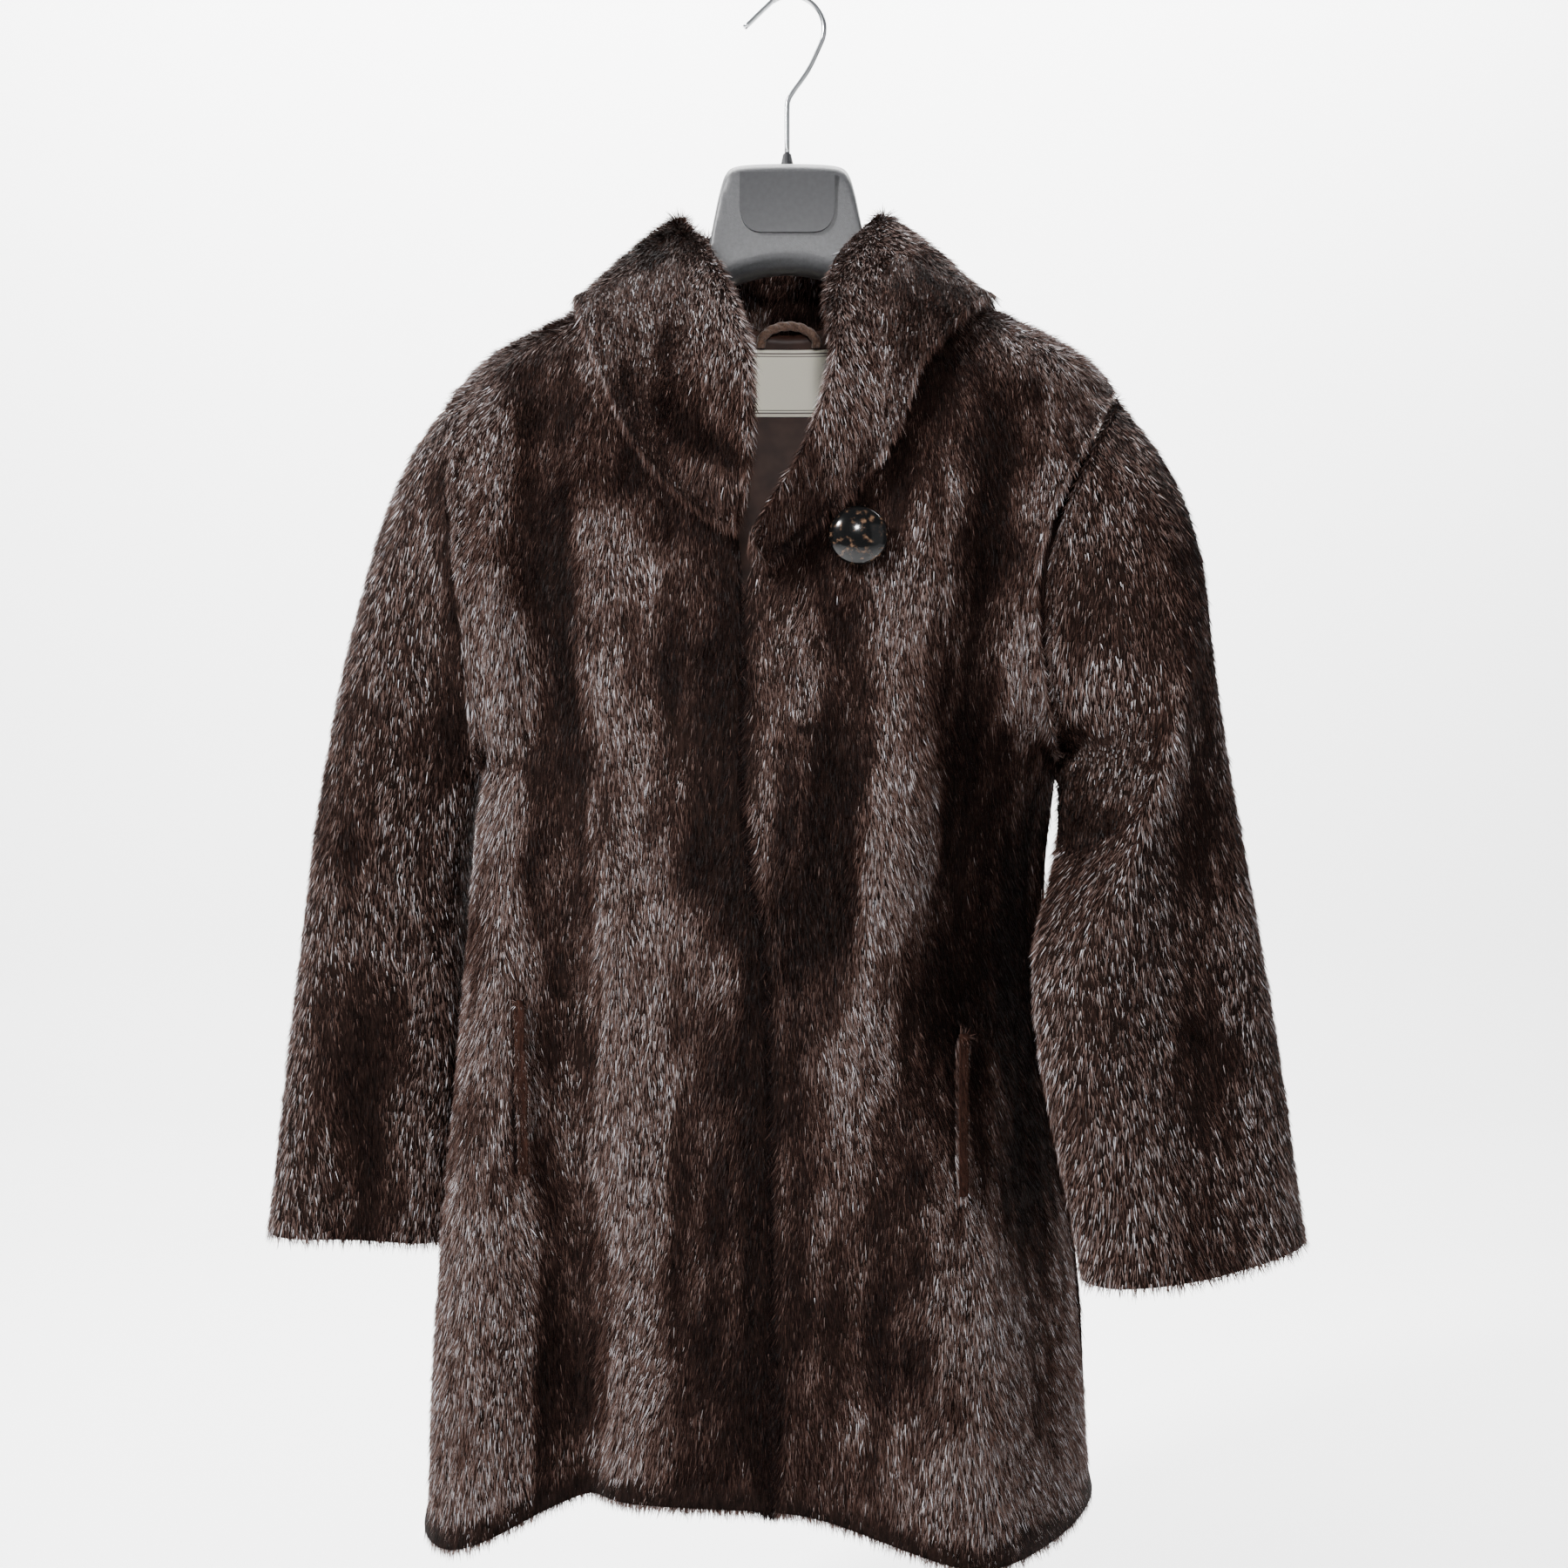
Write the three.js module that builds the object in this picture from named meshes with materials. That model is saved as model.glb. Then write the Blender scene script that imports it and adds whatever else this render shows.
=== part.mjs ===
// A lady's fur coat, open at the neck, hung on a broad plastic hanger with a steel hook.
// Millimetres, +Z up. The origin is the inside top of the hook, where it hangs on its rail.
// The coat faces -Y. Left and right are the wearer's: the left side is +X.
// Every panel is a closed wall of skin and fur, worked out from sections of the hung coat.
import * as THREE from 'three'

// Driving dimensions of the coat
const FUR_WALL = 9 // skin and fur together
const SEAM_GAP = 0.3 // between two pieces that are sewn together
const LINING_THICKNESS = 1.5
const NECK_POINT = { x: 66, z: -172 } // where the shoulder seam meets the neckline
const SHOULDER_TIP_Z = -250
const UNDERARM_Z = -494
const ARMHOLE_DEPTH = 74 // how far the armhole reaches to the front and to the back
const BACK_NECK_Z = -203
const BUTTON_DIAMETER = 35
const LOOP_DIAMETER = 6.5

// Driving dimensions of the hanger
const WIRE_DIAMETER = 3.5
const HOOK_RADIUS = 21.3
const YOKE_TOP_Z = -108
const YOKE_THICKNESS = 36

// How many facets the pieces get
const SLEEVE_SEGMENTS = 24
const ARMHOLE_STEPS = SLEEVE_SEGMENTS / 2
const SKIRT_STEPS = 14
const FRONT_COLUMNS = 19
const BACK_COLUMNS = 22

const colours = {
  fur: 0x2c1c17,
  lining: 0x4a3226,
  label: 0xd8cfb8,
  cord: 0x6b4a35,
  button: 0x140f0e,
  plastic: 0x4b4b4d,
  plaque: 0x38383b,
  steel: 0xb9bcc0,
}

const coat = new THREE.Group()

function addPiece(name, geometry, colour, roughness = 0.8, metalness = 0) {
  const material = new THREE.MeshStandardMaterial({ color: colour, roughness, metalness })
  const mesh = new THREE.Mesh(geometry, material)
  mesh.name = name
  coat.add(mesh)
}

// Small number helpers
const mix = THREE.MathUtils.lerp
const clamp = THREE.MathUtils.clamp
const ease = (share) => THREE.MathUtils.smoothstep(share, 0, 1)

// Reads a named column of a table whose rows run along its key, on a curve with no overshoot
function tableValue(rows, key, column, at) {
  const rising = rows[0][key] < rows[rows.length - 1][key]
  const sorted = rising ? rows : [...rows].reverse()
  const last = sorted.length - 1
  if (at <= sorted[0][key]) return sorted[0][column]
  if (at >= sorted[last][key]) return sorted[last][column]
  const slope = (i) => (sorted[i + 1][column] - sorted[i][column]) / (sorted[i + 1][key] - sorted[i][key])
  const tangent = (i) => {
    if (i === 0) return slope(0)
    if (i === last) return slope(last - 1)
    const before = slope(i - 1)
    const after = slope(i)
    return before * after <= 0 ? 0 : (2 * before * after) / (before + after)
  }
  const i = sorted.findIndex((row, n) => at <= sorted[n + 1][key])
  const span = sorted[i + 1][key] - sorted[i][key]
  const t = (at - sorted[i][key]) / span
  const h = t * t * (3 - 2 * t)
  const bend = t * (1 - t) * span * ((1 - t) * tangent(i) - t * tangent(i + 1))
  return mix(sorted[i][column], sorted[i + 1][column], h) + bend
}

// The hung coat at each height: how far its shoulder or side seam is from the middle,
// and how far its front and back stand out there
const bodySections = [
  { z: -172, left: 66, right: 66, front: 52, back: 50, squareness: 2.0, leftFront: 2.0 },
  { z: -190, left: 107, right: 107, front: 62, back: 58, squareness: 2.0, leftFront: 2.0 },
  { z: -210, left: 152.5, right: 152.5, front: 70, back: 64, squareness: 2.0, leftFront: 2.0 },
  { z: -222, left: 180, right: 180, front: 74, back: 68, squareness: 2.0, leftFront: 2.0 },
  { z: -234, left: 198, right: 198, front: 77, back: 71, squareness: 2.0, leftFront: 2.0 },
  { z: -250, left: 210, right: 210, front: 81, back: 74, squareness: 2.1, leftFront: 2.1 },
  { z: -370, left: 194, right: 196, front: 92, back: 84, squareness: 2.4, leftFront: 2.2 },
  { z: -494, left: 176, right: 180, front: 96, back: 88, squareness: 2.6, leftFront: 1.9 },
  { z: -560, left: 166, right: 180, front: 98, back: 91, squareness: 2.6, leftFront: 1.9 },
  { z: -700, left: 172, right: 183, front: 100, back: 95, squareness: 2.7, leftFront: 2.1 },
  { z: -830, left: 189, right: 190, front: 103, back: 99, squareness: 2.7, leftFront: 2.4 },
  { z: -960, left: 194, right: 195, front: 106, back: 102, squareness: 2.7, leftFront: 2.6 },
]

// How far each armhole is scooped in from a straight line, on each side of the seam
const armholeScoop = { frontLeft: 40, frontRight: -4, back: 8 }

// Hem heights, from the wearer's right (-X) to left
const hemTable = [
  { x: -205, front: -960, back: -950 },
  { x: -180, front: -966, back: -946 },
  { x: -145, front: -940, back: -938 },
  { x: -105, front: -930, back: -938 },
  { x: -50, front: -931, back: -942 },
  { x: 0, front: -933, back: -935 },
  { x: 60, front: -946, back: -942 },
  { x: 112, front: -957, back: -938 },
  { x: 160, front: -955, back: -944 },
  { x: 205, front: -944, back: -942 },
]

// The line where the two fronts meet, and each front's neckline, by height
const frontEdge = [
  { z: -340, x: -27 },
  { z: -505, x: -27 },
  { z: -582, x: -18 },
  { z: -620, x: -12 },
  { z: -960, x: -7 },
]
const frontEdgeGap = 1
const neckline = [
  { z: -172, left: 62, right: -62 },
  { z: -200, left: 64, right: -64 },
  { z: -240, left: 57, right: -58 },
  { z: -280, left: 44, right: -51 },
  { z: -320, left: 24, right: -42 },
  { z: -350, left: 0, right: -30 },
  { z: -374, left: -25.5, right: -28.5 },
]

// The largest folds, each a soft ridge (above 0) or valley that runs from its top to its end
const bodyFolds = [
  { face: 'front', topX: -173, topZ: -320, endX: -184, endZ: -960, width: 28, top: 4, middle: 30, end: 40 },
  { face: 'front', topX: -156, topZ: -275, endX: -130, endZ: -960, width: 18, top: -10, middle: -27, end: -28 },
  { face: 'front', topX: 10, topZ: -380, endX: -2, endZ: -640, width: 24, top: 5, middle: 8, end: 3 },
  { face: 'front', topX: 50, topZ: -440, endX: 8, endZ: -640, width: 17, top: -4, middle: -8, end: -6 },
  { face: 'front', topX: 97, topZ: -320, endX: 30, endZ: -700, width: 24, top: 6, middle: 12, end: 9 },
  { face: 'front', topX: 128, topZ: -300, endX: 106, endZ: -700, width: 18, top: -6, middle: -13, end: -13 },
  { face: 'front', topX: 95, topZ: -640, endX: 100, endZ: -960, width: 52, top: 2, middle: 20, end: 38 },
  { face: 'front', topX: 152, topZ: -480, endX: 160, endZ: -860, width: 26, top: -6, middle: -16, end: -8 },
  { face: 'back', topX: -70, topZ: -330, endX: -115, endZ: -960, width: 34, top: 3, middle: 9, end: 18 },
  { face: 'back', topX: 6, topZ: -380, endX: -4, endZ: -960, width: 36, top: 2, middle: 7, end: 16 },
  { face: 'back', topX: 72, topZ: -350, endX: 112, endZ: -960, width: 32, top: 3, middle: 10, end: 19 },
]
const FOLD_RUN_OUT = 45 // a fold fades over this height past its ends

function foldHeight(fold, x, z, runOut = FOLD_RUN_OUT) {
  const along = (fold.topZ - z) / (fold.topZ - fold.endZ)
  const t = clamp(along, 0, 1)
  const beyond = Math.max(z - fold.topZ, fold.endZ - z, 0)
  const strength = 1 - ease(beyond / runOut)
  const handle = 2 * fold.middle - (fold.top + fold.end) / 2
  const height = (1 - t) ** 2 * fold.top + 2 * t * (1 - t) * handle + t ** 2 * fold.end
  const across = (x - mix(fold.topX, fold.endX, t)) / fold.width
  return height * strength * Math.exp(-across * across)
}

// The share of the armhole's height at z: 0 at the shoulder tip, 1 at the underarm
const armholeShare = (z) => clamp((SHOULDER_TIP_Z - z) / (SHOULDER_TIP_Z - UNDERARM_Z), 0, 1)

function armholeTurn(z) {
  const across = 2 * armholeShare(z) - 1
  return ARMHOLE_DEPTH * Math.sqrt(Math.max(0, 1 - across * across))
}

// How far a panel's outer edge is from the middle, on the side of x: shoulder, armhole or side seam
function edgeReach(face, x, z) {
  const scoop = face === 'back' ? armholeScoop.back : x > 0 ? armholeScoop.frontLeft : armholeScoop.frontRight
  return tableValue(bodySections, 'z', x > 0 ? 'left' : 'right', z) - scoop * Math.sin(Math.PI * armholeShare(z))
}

// A point of the smooth body, before its folds. A section is a squarish oval, cut short at the armhole
function bodyPoint(face, x, z) {
  const facing = face === 'front' ? -1 : 1
  const depth = tableValue(bodySections, 'z', face, z)
  const power = tableValue(bodySections, 'z', face === 'front' && x > 0 ? 'leftFront' : 'squareness', z)
  const widest = (1 - (armholeTurn(z) / depth) ** power) ** (1 / power)
  const share = widest * clamp(Math.abs(x) / edgeReach(face, x, z), 0, 1)
  const y = depth * Math.max(0, 1 - share ** power) ** (1 / power)
  return new THREE.Vector3(x, facing * Math.max(y, SEAM_GAP / 2), z)
}

// Numbers from one end to the other, close together at both ends
function evenSteps(from, to, count) {
  return Array.from({ length: count + 1 }, (_, i) => mix(from, to, (1 - Math.cos((Math.PI * i) / count)) / 2))
}

// The same row of points with a new number of columns, evenly spaced along the cloth
function evenRow(samples, columns) {
  const lengths = [0]
  for (let i = 1; i < samples.length; i++) {
    lengths.push(lengths[i - 1] + samples[i].distanceTo(samples[i - 1]))
  }
  const total = lengths[samples.length - 1]
  const row = []
  let i = 1
  for (let column = 0; column <= columns; column++) {
    const target = (total * column) / columns
    while (i < samples.length - 1 && lengths[i] < target) i++
    const share = clamp((target - lengths[i - 1]) / (lengths[i] - lengths[i - 1]), 0, 1)
    row.push(samples[i - 1].clone().lerp(samples[i], share))
  }
  return row
}

// A row of the body from one x to another. The x are those at the row's middle height: where the
// row rises or falls, its outer half widens with the body's edge
function clothRow(face, fromX, toX, middleZ, heightAt, columns) {
  const samples = evenSteps(fromX, toX, 160).map((x) => {
    const z = heightAt(x)
    const edge = edgeReach(face, x, middleZ)
    const outerShare = Math.max(0, 2 * Math.abs(x / edge) - 1)
    return bodyPoint(face, x * (1 + outerShare * (edgeReach(face, x, z) / edge - 1)), z)
  })
  return evenRow(samples, columns)
}

// Normals of a grid of points, turned to the same side as the given direction of each point
function gridNormals(grid, outwardOf, closed = false) {
  return grid.map((row, r) =>
    row.map((point, c) => {
      const count = row.length
      const nextRow = grid[Math.min(r + 1, grid.length - 1)][c]
      const lastRow = grid[Math.max(r - 1, 0)][c]
      const next = closed ? row[(c + 1) % count] : row[Math.min(c + 1, count - 1)]
      const last = closed ? row[(c + count - 1) % count] : row[Math.max(c - 1, 0)]
      const normal = next.clone().sub(last).cross(nextRow.clone().sub(lastRow)).normalize()
      if (normal.dot(outwardOf(point, r)) < 0) normal.negate()
      return normal
    })
  )
}

// Moves each point of a grid along its normal by a distance
function moveAlong(grid, normals, distanceOf) {
  return grid.map((row, r) =>
    row.map((point, c) => point.clone().addScaledVector(normals[r][c], distanceOf(point, r, c)))
  )
}

// Lets the inside of a grid settle: each point moves half way to the middle of its neighbours
function settle(grid, passes, closed = false, where = () => true) {
  let settled = grid
  for (let pass = 0; pass < passes; pass++) {
    settled = settled.map((row, r) =>
      row.map((point, c) => {
        const count = row.length
        const onEdge = r === 0 || r === grid.length - 1 || (!closed && (c === 0 || c === count - 1))
        if (onEdge || !where(r, c)) return point
        const middle = new THREE.Vector3()
        const neighbours = [settled[r - 1][c], settled[r + 1][c], row[(c + 1) % count], row[(c + count - 1) % count]]
        for (const neighbour of neighbours) middle.addScaledVector(neighbour, 0.25)
        return point.clone().lerp(middle, 0.5)
      })
    )
  }
  return settled
}

// A closed mesh from loose triangles of points, with its faces turned outwards
function closedGeometry(triangles) {
  const corners = triangles.flat()
  let volume = 0
  for (let i = 0; i < corners.length; i += 3) {
    volume += corners[i].dot(corners[i + 1].clone().cross(corners[i + 2]))
  }
  const ordered = volume < 0 ? corners.reverse() : corners
  const positions = new Float32Array(ordered.flatMap((corner) => [corner.x, corner.y, corner.z]))
  const geometry = new THREE.BufferGeometry()
  geometry.setAttribute('position', new THREE.BufferAttribute(positions, 3))
  return geometry
}

function addQuad(triangles, a, b, c, d) {
  triangles.push([a, b, c], [a, c, d])
}

// A wall between an outer and an inner grid, with rims round its edges
function wallGeometry(outer, inner, closed = false) {
  const triangles = []
  const rows = outer.length
  const columns = outer[0].length
  const spans = closed ? columns : columns - 1
  for (let r = 0; r < rows - 1; r++) {
    for (let c = 0; c < spans; c++) {
      const n = (c + 1) % columns
      addQuad(triangles, outer[r][c], outer[r + 1][c], outer[r + 1][n], outer[r][n])
      addQuad(triangles, inner[r][c], inner[r][n], inner[r + 1][n], inner[r + 1][c])
    }
  }
  for (let c = 0; c < spans; c++) {
    const n = (c + 1) % columns
    addQuad(triangles, outer[0][c], outer[0][n], inner[0][n], inner[0][c])
    addQuad(triangles, outer[rows - 1][n], outer[rows - 1][c], inner[rows - 1][c], inner[rows - 1][n])
  }
  if (!closed) {
    const end = columns - 1
    for (let r = 0; r < rows - 1; r++) {
      addQuad(triangles, outer[r + 1][0], outer[r][0], inner[r][0], inner[r + 1][0])
      addQuad(triangles, outer[r][end], outer[r + 1][end], inner[r + 1][end], inner[r][end])
    }
  }
  return closedGeometry(triangles)
}

// Heights of the rows that end on the armhole, closer together at its two ends, most at the top
const armholeHeights = evenSteps(SHOULDER_TIP_Z, UNDERARM_Z, ARMHOLE_STEPS).map((z, i) =>
  mix(z, mix(SHOULDER_TIP_Z, UNDERARM_Z, i / ARMHOLE_STEPS), 0.5 * ease(i / 5))
)
const shoulderHeights = [-174, -184, -194, -204, -215, -226, -238]

// Outward directions for the body: away from its upright middle line, and up at the shoulders
const bodyOutward = (point) => new THREE.Vector3(point.x * 0.4, point.y, point.z > -260 ? 40 : 0)

// Gives a panel its folds and its inner side. Its seam edges stay in the seam's plane, and its
// front edge, if it has one, stays square to the cloth
function panelWall(face, base, frontColumn) {
  const folds = bodyFolds.filter((fold) => fold.face === face)
  const foldsAt = (point) => folds.reduce((sum, fold) => sum + foldHeight(fold, point.x, point.z), 0)
  const onSeam = (r, c) => Math.abs(base[r][c].y) < 1
  const squareEdges = (normals) => {
    normals.forEach((row, r) =>
      row.forEach((normal, c) => {
        const { x, z } = base[r][c]
        if (onSeam(r, c)) normal.setY(0).normalize()
        if (onSeam(r, c) && Math.abs(z - SHOULDER_TIP_Z) < 1) normal.set(Math.sign(x) * 0.5, 0, 0.866)
        if (onSeam(r, c) && Math.abs(z - UNDERARM_Z) < 1) normal.set(Math.sign(x), 0, 0)
      })
    )
    if (frontColumn !== undefined) normals.forEach((row) => row[frontColumn].setX(0).normalize())
    return normals
  }
  const smoothNormals = squareEdges(gridNormals(base, bodyOutward))
  const folded = moveAlong(base, smoothNormals, (point, r, c) => (onSeam(r, c) ? 0 : foldsAt(point)))
  const outer = settle(folded, 2)
  const normals = squareEdges(gridNormals(outer, bodyOutward))
  return { outer, normals, inner: moveAlong(outer, normals, () => -FUR_WALL) }
}

// The two fronts. Their rows run from the neckline or front edge out to the seam at the side
function frontWall(side) {
  const name = side > 0 ? 'left' : 'right'
  const edgeX = (z) => tableValue(frontEdge, 'z', 'x', z) + (side * frontEdgeGap) / 2
  const neckEnd = side > 0 ? -374 : -350
  const startX = (z) => (z > neckEnd ? tableValue(neckline, 'z', name, z) : edgeX(z))
  const seamX = (z) => side * edgeReach('front', side, z)
  const rows = []
  for (const z of [...shoulderHeights, ...armholeHeights]) {
    rows.push(clothRow('front', startX(z), seamX(z), z, () => z, FRONT_COLUMNS))
  }
  for (let step = 1; step <= SKIRT_STEPS; step++) {
    const share = step / SKIRT_STEPS
    const heightAt = (x) => mix(UNDERARM_Z, tableValue(hemTable, 'x', 'front', x), share)
    const middle = mix(UNDERARM_Z, -940, share)
    rows.push(clothRow('front', startX(middle), seamX(middle), middle, heightAt, FRONT_COLUMNS))
  }
  return panelWall('front', rows, 0)
}

// The back is one panel. Its upper rows follow the neckline and the shoulder seams
const SHOULDER_FADE = 75 // how far down the slope of the shoulders still shows in the rows
function backTop(x) {
  const reach = Math.abs(x)
  if (reach < NECK_POINT.x) return mix(BACK_NECK_Z, NECK_POINT.z, (reach / NECK_POINT.x) ** 2.5)
  let low = SHOULDER_TIP_Z
  let high = NECK_POINT.z
  for (let i = 0; i < 30; i++) {
    const z = (low + high) / 2
    if (tableValue(bodySections, 'z', 'left', z) > reach) low = z
    else high = z
  }
  return (low + high) / 2
}

function backWall() {
  const rows = []
  const slopeAt = (x, sideZ) => (backTop(x) - SHOULDER_TIP_Z) * Math.exp((sideZ - SHOULDER_TIP_Z) / SHOULDER_FADE)
  for (const sideZ of armholeHeights) {
    const xs = evenSteps(-edgeReach('back', -1, sideZ), edgeReach('back', 1, sideZ), 200)
    rows.push(evenRow(xs.map((x) => bodyPoint('back', x, sideZ + slopeAt(x, sideZ))), BACK_COLUMNS))
  }
  for (let step = 1; step <= SKIRT_STEPS; step++) {
    const share = step / SKIRT_STEPS
    const heightAt = (x) => mix(UNDERARM_Z + slopeAt(x, UNDERARM_Z), tableValue(hemTable, 'x', 'back', x), share)
    const middle = mix(UNDERARM_Z, -945, share)
    const ends = [-edgeReach('back', -1, middle), edgeReach('back', 1, middle)]
    rows.push(clothRow('back', ...ends, middle, heightAt, BACK_COLUMNS))
  }
  return panelWall('back', rows)
}

const walls = { left: frontWall(1), right: frontWall(-1), back: backWall() }
addPiece('front_left', wallGeometry(walls.left.outer, walls.left.inner), colours.fur)
addPiece('front_right', wallGeometry(walls.right.outer, walls.right.inner), colours.fur)
addPiece('back', wallGeometry(walls.back.outer, walls.back.inner), colours.fur)

// The sleeves. A section's ends are its outer point, on the shoulder's side, and its inner point,
// under the arm, both as distances out from the middle; depth is half its thickness across them
const sleeveSections = {
  left: [
    { step: 0, outX: 208, outY: 0, outZ: -250, inX: 176, inY: 0, inZ: -494, depth: 74 },
    { step: 1, outX: 226, outY: 0, outZ: -280, inX: 186, inY: -16, inZ: -500, depth: 69 },
    { step: 2, outX: 241, outY: 0, outZ: -325, inX: 186, inY: -38, inZ: -508, depth: 61 },
    { step: 3, outX: 253, outY: 0, outZ: -380, inX: 180, inY: -58, inZ: -526, depth: 53 },
    { step: 4, outX: 266, outY: -2, outZ: -440, inX: 170, inY: -76, inZ: -552, depth: 45 },
    { step: 5, outX: 279, outY: -10, outZ: -504, inX: 149, inY: -88, inZ: -580, depth: 43 },
    { step: 6, outX: 291, outY: -14, outZ: -569, inX: 146, inY: -97, inZ: -624, depth: 43 },
    { step: 7, outX: 302, outY: -18, outZ: -636, inX: 149, inY: -105, inZ: -670, depth: 41 },
    { step: 8, outX: 312, outY: -21, outZ: -700, inX: 157, inY: -110, inZ: -718, depth: 40 },
    { step: 9, outX: 317, outY: -24, outZ: -748, inX: 166, inY: -113, inZ: -760, depth: 39 },
    { step: 10, outX: 321, outY: -26, outZ: -786, inX: 173, inY: -115, inZ: -797, depth: 39 },
  ],
  right: [
    { step: 0, outX: 210, outY: 0, outZ: -250, inX: 180, inY: 0, inZ: -494, depth: 74 },
    { step: 1, outX: 236, outY: 4, outZ: -276, inX: 186, inY: 10, inZ: -500, depth: 68 },
    { step: 2, outX: 259, outY: 8, outZ: -318, inX: 192, inY: 18, inZ: -508, depth: 60 },
    { step: 3, outX: 277, outY: 10, outZ: -372, inX: 197, inY: 24, inZ: -522, depth: 53 },
    { step: 4, outX: 292, outY: 12, outZ: -432, inX: 200, inY: 28, inZ: -546, depth: 49 },
    { step: 5, outX: 304, outY: 13, outZ: -496, inX: 202, inY: 30, inZ: -580, depth: 47 },
    { step: 6, outX: 314, outY: 14, outZ: -562, inX: 204, inY: 31, inZ: -622, depth: 47 },
    { step: 7, outX: 322, outY: 14, outZ: -628, inX: 205, inY: 32, inZ: -670, depth: 46 },
    { step: 8, outX: 330, outY: 14, outZ: -694, inX: 206, inY: 33, inZ: -720, depth: 47 },
    { step: 9, outX: 336, outY: 13, outZ: -748, inX: 207, inY: 34, inZ: -762, depth: 45 },
    { step: 10, outX: 341, outY: 15, outZ: -794, inX: 208, inY: 34, inZ: -801, depth: 45 },
  ],
}
const SLEEVE_RINGS = 17
const SLEEVE_SQUARENESS = 2.3
const armholeBlend = [1, 0.5, 0.2, 0.06] // how much of the armhole's own shape each first ring keeps

// Folds of the sleeves: X is the angle round the sleeve in degrees, from its outer point over the
// front, and Z is minus the step
const sleeveFolds = {
  left: [
    { topX: 78, topZ: -3, endX: 92, endZ: -9, width: 22, top: -4, middle: -11, end: -8 },
    { topX: 118, topZ: -1.5, endX: 128, endZ: -6, width: 24, top: 3, middle: 8, end: 4 },
    { topX: 262, topZ: -4, endX: 272, endZ: -8, width: 26, top: -3, middle: -9, end: -6 },
  ],
  right: [
    { topX: 58, topZ: -2, endX: 48, endZ: -6, width: 24, top: 3, middle: 7, end: 4 },
    { topX: 112, topZ: -1.5, endX: 104, endZ: -4.5, width: 20, top: -4, middle: -9, end: -5 },
    { topX: 96, topZ: -6.5, endX: 84, endZ: -10, width: 24, top: -4, middle: -12, end: -12 },
    { topX: 258, topZ: -4, endX: 268, endZ: -9, width: 28, top: -3, middle: -9, end: -7 },
  ],
}
const SLEEVE_FOLD_RUN_OUT = 1.2 // in steps

function sleeveRing(name, side, step) {
  const value = (column) => tableValue(sleeveSections[name], 'step', column, step)
  const out = new THREE.Vector3(side * value('outX'), value('outY'), value('outZ'))
  const inner = new THREE.Vector3(side * value('inX'), value('inY'), value('inZ'))
  const centre = out.clone().add(inner).multiplyScalar(0.5)
  const axis = out.clone().sub(inner).multiplyScalar(0.5)
  const across = new THREE.Vector3(side * axis.y, -side * axis.x, 0).normalize().multiplyScalar(value('depth'))
  const rounded = (value) => Math.sign(value) * Math.abs(value) ** (2 / SLEEVE_SQUARENESS)
  return Array.from({ length: SLEEVE_SEGMENTS }, (_, i) => {
    const angle = (2 * Math.PI * i) / SLEEVE_SEGMENTS
    return centre
      .clone()
      .addScaledVector(axis, rounded(Math.cos(angle)))
      .addScaledVector(across, rounded(Math.sin(angle)))
  })
}

// The closed loop of points where a sleeve is sewn on: down the front's armhole and up the back's
function armholeLoop(frontGrid, backGrid, backColumn, side) {
  const front = (i) => frontGrid[shoulderHeights.length + i][FRONT_COLUMNS]
  const back = (i) => backGrid[i][backColumn]
  const loop = []
  for (let i = 0; i < SLEEVE_SEGMENTS; i++) {
    const down = i <= ARMHOLE_STEPS ? i : SLEEVE_SEGMENTS - i
    const onSeam = down === 0 || down === ARMHOLE_STEPS
    const point = (onSeam ? front(down).clone().lerp(back(down), 0.5) : (i < ARMHOLE_STEPS ? front : back)(down).clone())
    point.x += side * SEAM_GAP
    loop.push(point)
  }
  return loop
}

function addSleeve(name, side, frontWalls, backColumn) {
  const loop = armholeLoop(frontWalls.outer, walls.back.outer, backColumn, side)
  const innerLoop = armholeLoop(frontWalls.inner, walls.back.inner, backColumn, side)
  const plainLoop = sleeveRing(name, side, 0)
  const steps = Array.from({ length: SLEEVE_RINGS + 1 }, (_, i) => 10 * (i / SLEEVE_RINGS) ** 1.1)
  const base = steps.map((step, r) =>
    sleeveRing(name, side, step).map((point, i) =>
      point.addScaledVector(loop[i].clone().sub(plainLoop[i]), armholeBlend[r] ?? 0)
    )
  )
  const centres = base.map((ring) =>
    ring.reduce((sum, point) => sum.add(point), new THREE.Vector3()).divideScalar(SLEEVE_SEGMENTS)
  )
  const outward = (point, r) => point.clone().sub(centres[r])
  const foldsAt = (r, i) => {
    const angle = (360 * i) / SLEEVE_SEGMENTS
    const folds = sleeveFolds[name]
    return folds.reduce((sum, fold) => sum + foldHeight(fold, angle, -steps[r], SLEEVE_FOLD_RUN_OUT), 0)
  }
  const folded = moveAlong(base, gridNormals(base, outward, true), (_, r, i) => (r === 0 ? 0 : foldsAt(r, i)))
  const underarm = (r, i) => r <= 9 && Math.abs(i - 13) <= 4
  const outer = settle(settle(folded, 1, true), 6, true, underarm)
  const offset = moveAlong(outer, gridNormals(outer, outward, true), () => -FUR_WALL)
  offset[0] = innerLoop
  const inner = settle(offset, 6, true, underarm)
  addPiece(`sleeve_${name}`, wallGeometry(outer, inner, true), colours.fur)
}
addSleeve('left', 1, walls.left, BACK_COLUMNS)
addSleeve('right', -1, walls.right, 0)

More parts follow.
